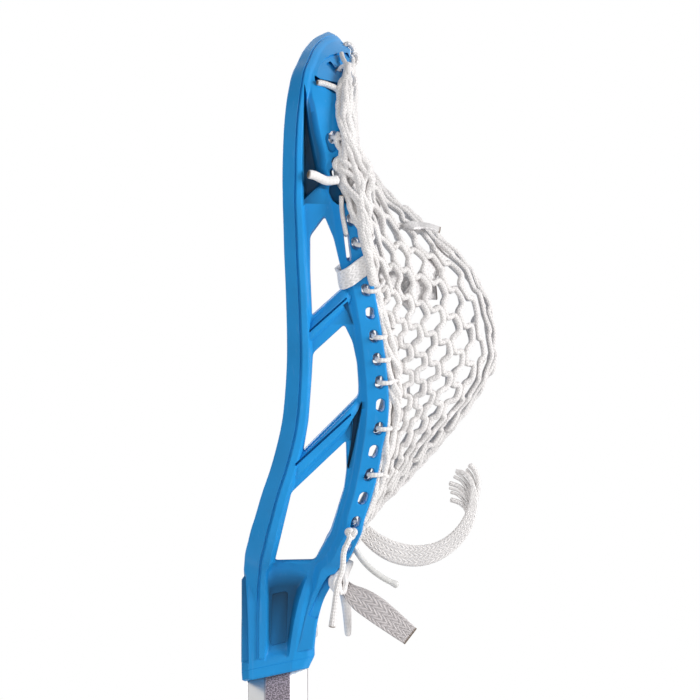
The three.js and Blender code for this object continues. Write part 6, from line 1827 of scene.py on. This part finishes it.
def finishes():
    """All the materials, made once from the colours of the panel."""
    if "Plait" not in bpy.data.node_groups:
        groups = {made.name: made for made in (plait_group(), chevron_group(), grain_group())}
        look = bpy.context.scene.stick_colours
        # The head's plastic, with shade painted down its hollows.
        grained("moulded blue", groups, look.plastic, 0.4, 1600.0, 0.1, painted_shade=PAINTED_SHADE_BLUE)
        shader = bpy.data.materials["moulded blue"].node_tree.nodes["Principled BSDF"]
        shader.inputs["Specular IOR Level"].default_value = PLASTIC_GLOSS
        gritted("blasted metal", groups, look.metal, look.grit)
        grained("cap rubber", groups, look.rubber, 0.75, 900.0, 0.4)
        grained("screw steel", groups, look.steel, 0.35, 2600.0, 0.1, metallic=1.0)
        grained("stop foam", groups, look.foam, 0.92, 700.0, 0.9, spread=0.15, distance=0.0004)
        for name, colour, rough, numbers, bump, crevice in WEAVES:
            pattern = groups["Chevron" if "Columns" in numbers else "Plait"]
            woven(name, pattern, getattr(look, colour), rough, numbers, bump, crevice)


def dress(piece, material, slot, *nodes):
    """Gives a piece its material, lets it ride on the stick, and hides the CAD nodes it stands for. The slot is not
    used.
    """
    finishes()
    piece.data.materials.clear()
    piece.data.materials.append(bpy.data.materials[material])
    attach(piece, "root")
    if nodes:
        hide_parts(*nodes)
    return piece


# Settings.


def length_setting(name, description, default, low, high):
    """A length, with its default in millimetres and its limits in metres."""
    return bpy.props.FloatProperty(name=name, description=description, default=default * MM, min=low, max=high,
                                   unit="LENGTH")


class StickSizes(bpy.types.PropertyGroup):
    """Thicknesses and widths of the cords."""
    mesh_cord: length_setting("Mesh cord", "Thickness of the pocket's cords", MESH_CORD + MESH_FLUFF, 0.001, 0.005)
    string: length_setting("Lacing string", "Thickness of the strings that lace the pocket on", 2 * STRING_RADIUS,
                           0.001, 0.003)
    lace_width: length_setting("Lace width", "Width of the flat laces", LACE_WIDTH, 0.005, 0.012)
    lace_thickness: length_setting("Lace thickness", "Thickness of the flat laces", LACE_THICKNESS, 0.0008, 0.002)


def colour_setting(name, description, default):
    """A colour with its default."""
    return bpy.props.FloatVectorProperty(name=name, description=description, default=default, subtype="COLOR", size=3,
                                         min=0.0, max=1.0)


class StickColours(bpy.types.PropertyGroup):
    """Base colours of the finishes."""
    plastic: colour_setting("Plastic", "Colour of the moulded head", (0.013, 0.258, 0.615))
    metal: colour_setting("Metal", "Colour of the shaft", (0.66, 0.66, 0.66))
    grit: colour_setting("Grit", "Colour of the grip grit on the shaft's sides", (0.20, 0.17, 0.20))
    rubber: colour_setting("Rubber", "Colour of the end cap", (0.014, 0.016, 0.020))
    steel: colour_setting("Steel", "Colour of the screw", (0.60, 0.61, 0.63))
    foam: colour_setting("Foam", "Colour of the ball stop", (0.020, 0.022, 0.025))
    string: colour_setting("String", "Colour of the mesh and the strings", (0.85, 0.82, 0.805))
    lace: colour_setting("Lace", "Colour of the flat laces", (0.88, 0.855, 0.85))
    used_lace: colour_setting("Used lace", "Colour of the soiled lace end", (0.62, 0.575, 0.57))
    nylon: colour_setting("Nylon", "Colour of the smooth cord", (0.64, 0.63, 0.61))


# Operators.

FLOOR_GLOW = 0.55
FLOOR_HALF_SIDE = 4.0
ROOM_LIGHT = (0.24, 0.245, 0.255, 1)
LENS, SENSOR, CLIP_START, CLIP_END = 1000.0, 36.0, 0.1, 100.0
CAMERA_FRONT = -40.0
LAMP_AIM = [15.0, 0.0, 150.0]
# Lamps: name, place from the middle of the head in metres, side in metres and power in watts.
LAMPS = [("key", [1.7, -0.62, 0.42], 0.7, 36.0), ("fill", [-0.9, -1.75, 0.3], 1.2, 15.5),
         ("back", [-0.7, 1.6, 0.6], 1.2, 12.0)]


def soft_lamp(name, place, aim, size, power):
    """A square area lamp, in metres, turned to face a point: yaw and pitch are the angles of the way to it."""
    lamp = bpy.data.lights.new(name, "AREA")
    lamp.shape, lamp.size, lamp.energy = "SQUARE", size, power
    piece = placed(name, lamp)
    piece.location = place
    facing = np.array(aim, float) - np.array(place, float)
    yaw, pitch = math.atan2(facing[1], facing[0]), math.atan2(facing[2], math.hypot(facing[0], facing[1]))
    piece.rotation_euler = (math.pi / 2 + pitch, 0, yaw - math.pi / 2)


def seen_directly(tree):
    """1 where a ray comes from the camera, a gloss or a clear piece, so that what it meets can look white."""
    ray = add_node(tree, "ShaderNodeLightPath").outputs
    return maths(tree, "MAXIMUM", ray["Is Camera Ray"],
                 maths(tree, "MAXIMUM", ray["Is Glossy Ray"], ray["Is Transmission Ray"]))


class STICK_OT_stage(bpy.types.Operator):
    """Floor, light and camera"""
    bl_idname = "stick.stage"
    bl_label = "Stage"

    def execute(self, context):
        """The camera faces the photograph's middle. Its distance is the view's width times the lens over the
        sensor. The floor and the room look white to the camera and light the stick less than that."""
        scene = context.scene
        scene.view_settings.view_transform = "Standard"
        camera = bpy.data.cameras.new("photo view")
        camera.lens, camera.sensor_width = LENS, SENSOR
        camera.clip_start, camera.clip_end = CLIP_START, CLIP_END
        eye = placed("photo view", camera)
        span = PHOTO_SIZE * PHOTO_PIXEL
        away = span * camera.lens / camera.sensor_width
        middle = in_frame([(PHOTO_SIZE / 2 - SHAFT_AXIS_PIXEL) * PHOTO_PIXEL, CAMERA_FRONT - away,
                           (THROAT_PIXEL - PHOTO_SIZE / 2) * PHOTO_PIXEL])
        eye.location, eye.rotation_euler = middle, (math.pi / 2, 0, 0)
        scene.camera = eye

        made = bpy.data.meshes.new("floor")
        corners = [(x * FLOOR_HALF_SIDE, y * FLOOR_HALF_SIDE, 0) for x, y in ((-1, -1), (1, -1), (1, 1), (-1, 1))]
        made.from_pydata(corners, [], [(0, 1, 2, 3)])
        placed("floor", made)
        paint, tree, shader = new_material("pale floor")
        shader.inputs["Base Color"].default_value = (0.8, 0.8, 0.8, 1)
        shader.inputs["Roughness"].default_value = 0.9
        shader.inputs["Emission Color"].default_value = (1, 1, 1, 1)
        feed(tree, shader.inputs["Emission Strength"], seen_directly(tree) * FLOOR_GLOW)
        made.materials.append(paint)

        world = bpy.data.worlds.new("white room")
        world.use_nodes = True
        scene.world = world
        tree = world.node_tree
        room = mixed(tree, seen_directly(tree), ROOM_LIGHT, (1, 1, 1, 1))
        feed(tree, tree.nodes["Background"].inputs["Color"], room)

        aim = in_frame(LAMP_AIM)
        for name, place, size, power in LAMPS:
            soft_lamp(name, aim + np.array(place), aim, size, power)
        return {"FINISHED"}


class STICK_OT_loose_ends(bpy.types.Operator):
    """The loose cord ends: knotted string end, throat cord end, nylon end and the mesh's tail"""
    bl_idname = "stick.loose_ends"
    bl_label = "Loose ends"

    def execute(self, context):
        """Each end is a smooth line through its steps from its anchor, and its radius is read along the line."""
        anchors = tail_anchors()
        path = evenly(anchors["knot"] + np.array(KNOT_TAIL_STEPS, float), TAIL_STEP)
        flare = np.interp(lengths_along(path), *KNOT_TAIL_FLARE)
        tail = cord_mesh("knotted_end", path, KNOT_TAIL_RADIUS * flare, sides=14, rounded=0.3, singe=(0, 1.5))
        knot = cord_mesh("stop_knot", anchors["knot"] + knot_path(), KNOT_TAIL_RADIUS, sides=14)
        for piece in (tail, knot):
            dress(piece, "braided cord", "string_cord", "near_string_tail")
        self.declare(tail, path, 2 * KNOT_TAIL_RADIUS, "limp", [knot])

        shell = Shell()
        skein(shell, THROAT_KNOT, THROAT_KNOT_CORDS, THROAT_KNOT_RADIUS, behind_throat, THROAT_KNOT_SEED)
        dress(shell.mesh("throat_knot"), "worn cord", "string_cord", "throat_string")

        path = evenly(anchors["throat"] + np.array(THROAT_TAIL_HIDDEN + THROAT_TAIL_STEPS, float), TAIL_STEP)
        along = lengths_along(path)
        taper = np.interp(along, [0, 6, along[-1] - 14, along[-1] - 2, along[-1]], [0.8, 1, 1, 0.76, 0.68])
        tail = cord_mesh("throat_end", path, THROAT_TAIL_RADIUS * taper, sides=16, rounded=0.9)
        dress(tail, "worn cord", "string_cord", "throat_cord_tail")
        self.declare(tail, path, 2 * THROAT_TAIL_RADIUS, "medium")

        path = evenly(anchors["nylon"] + np.array(NYLON_HIDDEN + NYLON_STEPS, float), TAIL_STEP)
        along = lengths_along(path)
        flare = np.interp(along, [0, along[-1] - 2.4, along[-1] - 1.2, along[-1]], [1, 1, 1.2, 1.25])
        tail = cord_mesh("nylon_end", path, NYLON_RADIUS * flare, sides=16, rounded=0.7)
        dress(tail, "smooth nylon", "smooth_cord", "nylon_tail")
        self.declare(tail, path, 2 * NYLON_RADIUS, "stiff")

        path, widths, width = flat_rows(anchors["band"], MESH_BAND_ROWS)
        band = lace_mesh("mesh_end", path, widths, width, MESH_BAND_THICKNESS)
        dress(band, "loose knit", "mesh_cord", "mesh_tail_band")
        shell = Shell()
        for number, (radius, corners) in enumerate(MESH_FAN):
            strand = np.insert(from_photo(corners), 1, path[-1, 1] + FAN_LAYERS[number % 3], axis=1)
            round_cord(shell, evenly(strand, FAN_STEP), radius, sides=8, rounded=0.5)
        branch = dress(shell.mesh("mesh_end_fan"), "knit cord", "mesh_cord", "mesh_tail_band")
        self.declare(band, path, MESH_BAND_WIDTH, "limp", [branch])
        return {"FINISHED"}

    @staticmethod
    def declare(piece, path, diameter, stiffness, on_it=()):
        """Works out a cord's line in metres, and its length as the sum of the line's steps; it keeps neither."""
        line = in_frame(path)
        float(lengths_along(line)[-1])


class STICK_OT_head(bpy.types.Operator):
    """The moulded head"""
    bl_idname = "stick.head"
    bl_label = "Head"

    def execute(self, context):
        """Builds the moulding and dresses it."""
        dress(build_head(), "moulded blue", "moulded_blue", "head")
        return {"FINISHED"}


class STICK_OT_shaft(bpy.types.Operator):
    """The shaft and its end cap"""
    bl_idname = "stick.shaft"
    bl_label = "Shaft and cap"

    def execute(self, context):
        """Builds the tube and the cap, and dresses them."""
        dress(build_shaft(), "blasted metal", "shaft_metal", "shaft")
        dress(build_cap(), "cap rubber", "cap_rubber", "end_cap")
        return {"FINISHED"}


class STICK_OT_fittings(bpy.types.Operator):
    """The screw and the ball stop"""
    bl_idname = "stick.fittings"
    bl_label = "Screw and ball stop"

    def execute(self, context):
        """Builds the screw and the pad, and dresses them."""
        dress(build_screw(), "screw steel", "screw_steel", "head_screw")
        dress(build_ball_stop(), "stop foam", "ball_stop_foam", "ball_stop")
        return {"FINISHED"}


class STICK_OT_pocket(bpy.types.Operator):
    """The knotted mesh"""
    bl_idname = "stick.pocket"
    bl_label = "Mesh pocket"

    def execute(self, context):
        """Builds the mesh, then its gathered edge on each side, from the cord's thickness on the panel."""
        cord = context.scene.stick_sizes.mesh_cord / MM
        dress(build_mesh(cord), "knit cord", "mesh_cord", "mesh_pocket")
        for far in (False, True):
            dress(build_gathered(cord, far), "knit cord", "mesh_cord", "mesh_pocket")
        return {"FINISHED"}


class STICK_OT_strings(bpy.types.Operator):
    """The strings that lace the mesh to the head"""
    bl_idname = "stick.strings"
    bl_label = "Lacing strings"

    def execute(self, context):
        """Each string is a round cord along its own stitches. The far side's are the near side's mirror image."""
        radius = context.scene.stick_sizes.string / MM / 2
        side = sidewall_path()
        low = np.array([throat_point(across) for across in np.linspace(-1, 1, 15)])
        made = [("near_lacing", side, "sidewall_string_near"), ("far_lacing", mirrored(side), "sidewall_string_far"),
                ("scoop_lacing", top_path(), "top_string"), ("throat_lacing", low, "throat_string")]
        for name, path, node in made:
            dress(cord_mesh(name, evenly(path, STRING_STEP), radius), "braided cord", "string_cord", node)
        return {"FINISHED"}


class STICK_OT_laces(bpy.types.Operator):
    """The flat laces and their ends"""
    bl_idname = "stick.laces"
    bl_label = "Flat laces"

    def execute(self, context):
        """Each lace lies clear of what it crosses by half the thicknesses of both and a gap."""
        sizes = context.scene.stick_sizes
        width, thickness = sizes.lace_width / MM, sizes.lace_thickness / MM
        for name, row, node in (("upper_lace", 3, "shooting_lace_upper"), ("lower_lace", 5, "shooting_lace_lower")):
            lace = lace_mesh(name, *shooting_path(row), width, thickness)
            dress(lace, "herringbone lace", "flat_lace", node)
        near = wrap_path()
        for name, lines, node in (("near_wrap", near, "rail_wrap_near"),
                                  ("far_wrap", map(mirrored, near), "rail_wrap_far")):
            lace = lace_mesh(name, *lines, LACE_WIDTH, LACE_THICKNESS, closed=True)
            dress(lace, "herringbone lace", "flat_lace", node)

        path, widths, end_width = flat_rows(tail_anchors()["flat"], FLAT_TAIL_ROWS)
        lace = lace_mesh("flat_lace_end", path, widths, end_width, thickness, singe=(0, 2.0))
        dress(lace, "grey lace", "flat_lace", "flat_lace_tail")

        places = refined(INNER_TAIL_PLACES, INNER_TAIL_STEPS).T
        out = pocket_ways(*places)[2]
        path = pocket(*places) - out * (MESH_CORD / 2 + LACE_THICKNESS * 1.5 + SHOOTING_GAP + LACE_GAP * 2)
        widths = np.cross(out, np.gradient(path, axis=0))
        lace = lace_mesh("inner_lace_end", path, widths, width * INNER_TAIL_WIDTH_SHARE, thickness, singe=(0, 1.5))
        dress(lace, "herringbone lace", "flat_lace", "inner_lace_tail")

        places = np.array(OUTER_TAIL_PLACES).T
        start = pocket(*places) + pocket_ways(*places)[2] * (MESH_CORD / 2 + LACE_THICKNESS / 2 + SHOOTING_GAP * 2)
        path = evenly(np.concatenate([start, start[-1] + np.array(OUTER_TAIL_STEPS)]), 0.8)
        widths = np.tile(OUTER_TAIL_WIDTH_WAY, (len(path), 1))
        lace = lace_mesh("outer_lace_end", path, widths, width * OUTER_TAIL_WIDTH_SHARE, thickness, singe=(0, 1.5))
        dress(lace, "herringbone lace", "flat_lace", "shooting_lace_tail")

        path = evenly(on_wall(*from_photo(STUB_STEPS).T, FRONT_FACE_RISE + CLEARANCE + STUB_RADIUS), STRING_STEP)
        stub = cord_mesh("scoop_string_end", path, STUB_RADIUS, sides=16, rounded=0.5, singe=(0, 1.6))
        dress(stub, "worn cord", "string_cord", "top_string_stub")
        return {"FINISHED"}


class STICK_PT_panel(bpy.types.Panel):
    """The stick's settings, and a button for each operator"""
    bl_idname = "STICK_PT_panel"
    bl_label = "Lacrosse stick"
    bl_space_type = "VIEW_3D"
    bl_region_type = "UI"
    bl_category = "Stick"

    def draw(self, context):
        """A box for each group of settings, and the operators in one column."""
        for settings in (context.scene.stick_sizes, context.scene.stick_colours):
            box = self.layout.box()
            for name in settings.__annotations__:
                box.prop(settings, name)
        column = self.layout.column()
        for step in STEPS:
            column.operator(step.bl_idname)


STEPS = [STICK_OT_stage, STICK_OT_loose_ends, STICK_OT_head, STICK_OT_shaft, STICK_OT_fittings, STICK_OT_pocket,
         STICK_OT_strings, STICK_OT_laces]
CLASSES = [StickSizes, StickColours] + STEPS + [STICK_PT_panel]


def register():
    """Makes the classes known to Blender, and gives the scene its settings."""
    for made in CLASSES:
        bpy.utils.register_class(made)
    bpy.types.Scene.stick_sizes = bpy.props.PointerProperty(type=StickSizes)
    bpy.types.Scene.stick_colours = bpy.props.PointerProperty(type=StickColours)


def unregister():
    """Undoes register, in reverse order."""
    del bpy.types.Scene.stick_colours
    del bpy.types.Scene.stick_sizes
    for made in reversed(CLASSES):
        bpy.utils.unregister_class(made)


def main():
    """Builds the stick, one operator after another."""
    register()
    for step in STEPS:
        group, name = step.bl_idname.split(".")
        getattr(getattr(bpy.ops, group), name)()


if __name__ == "__main__":
    main()
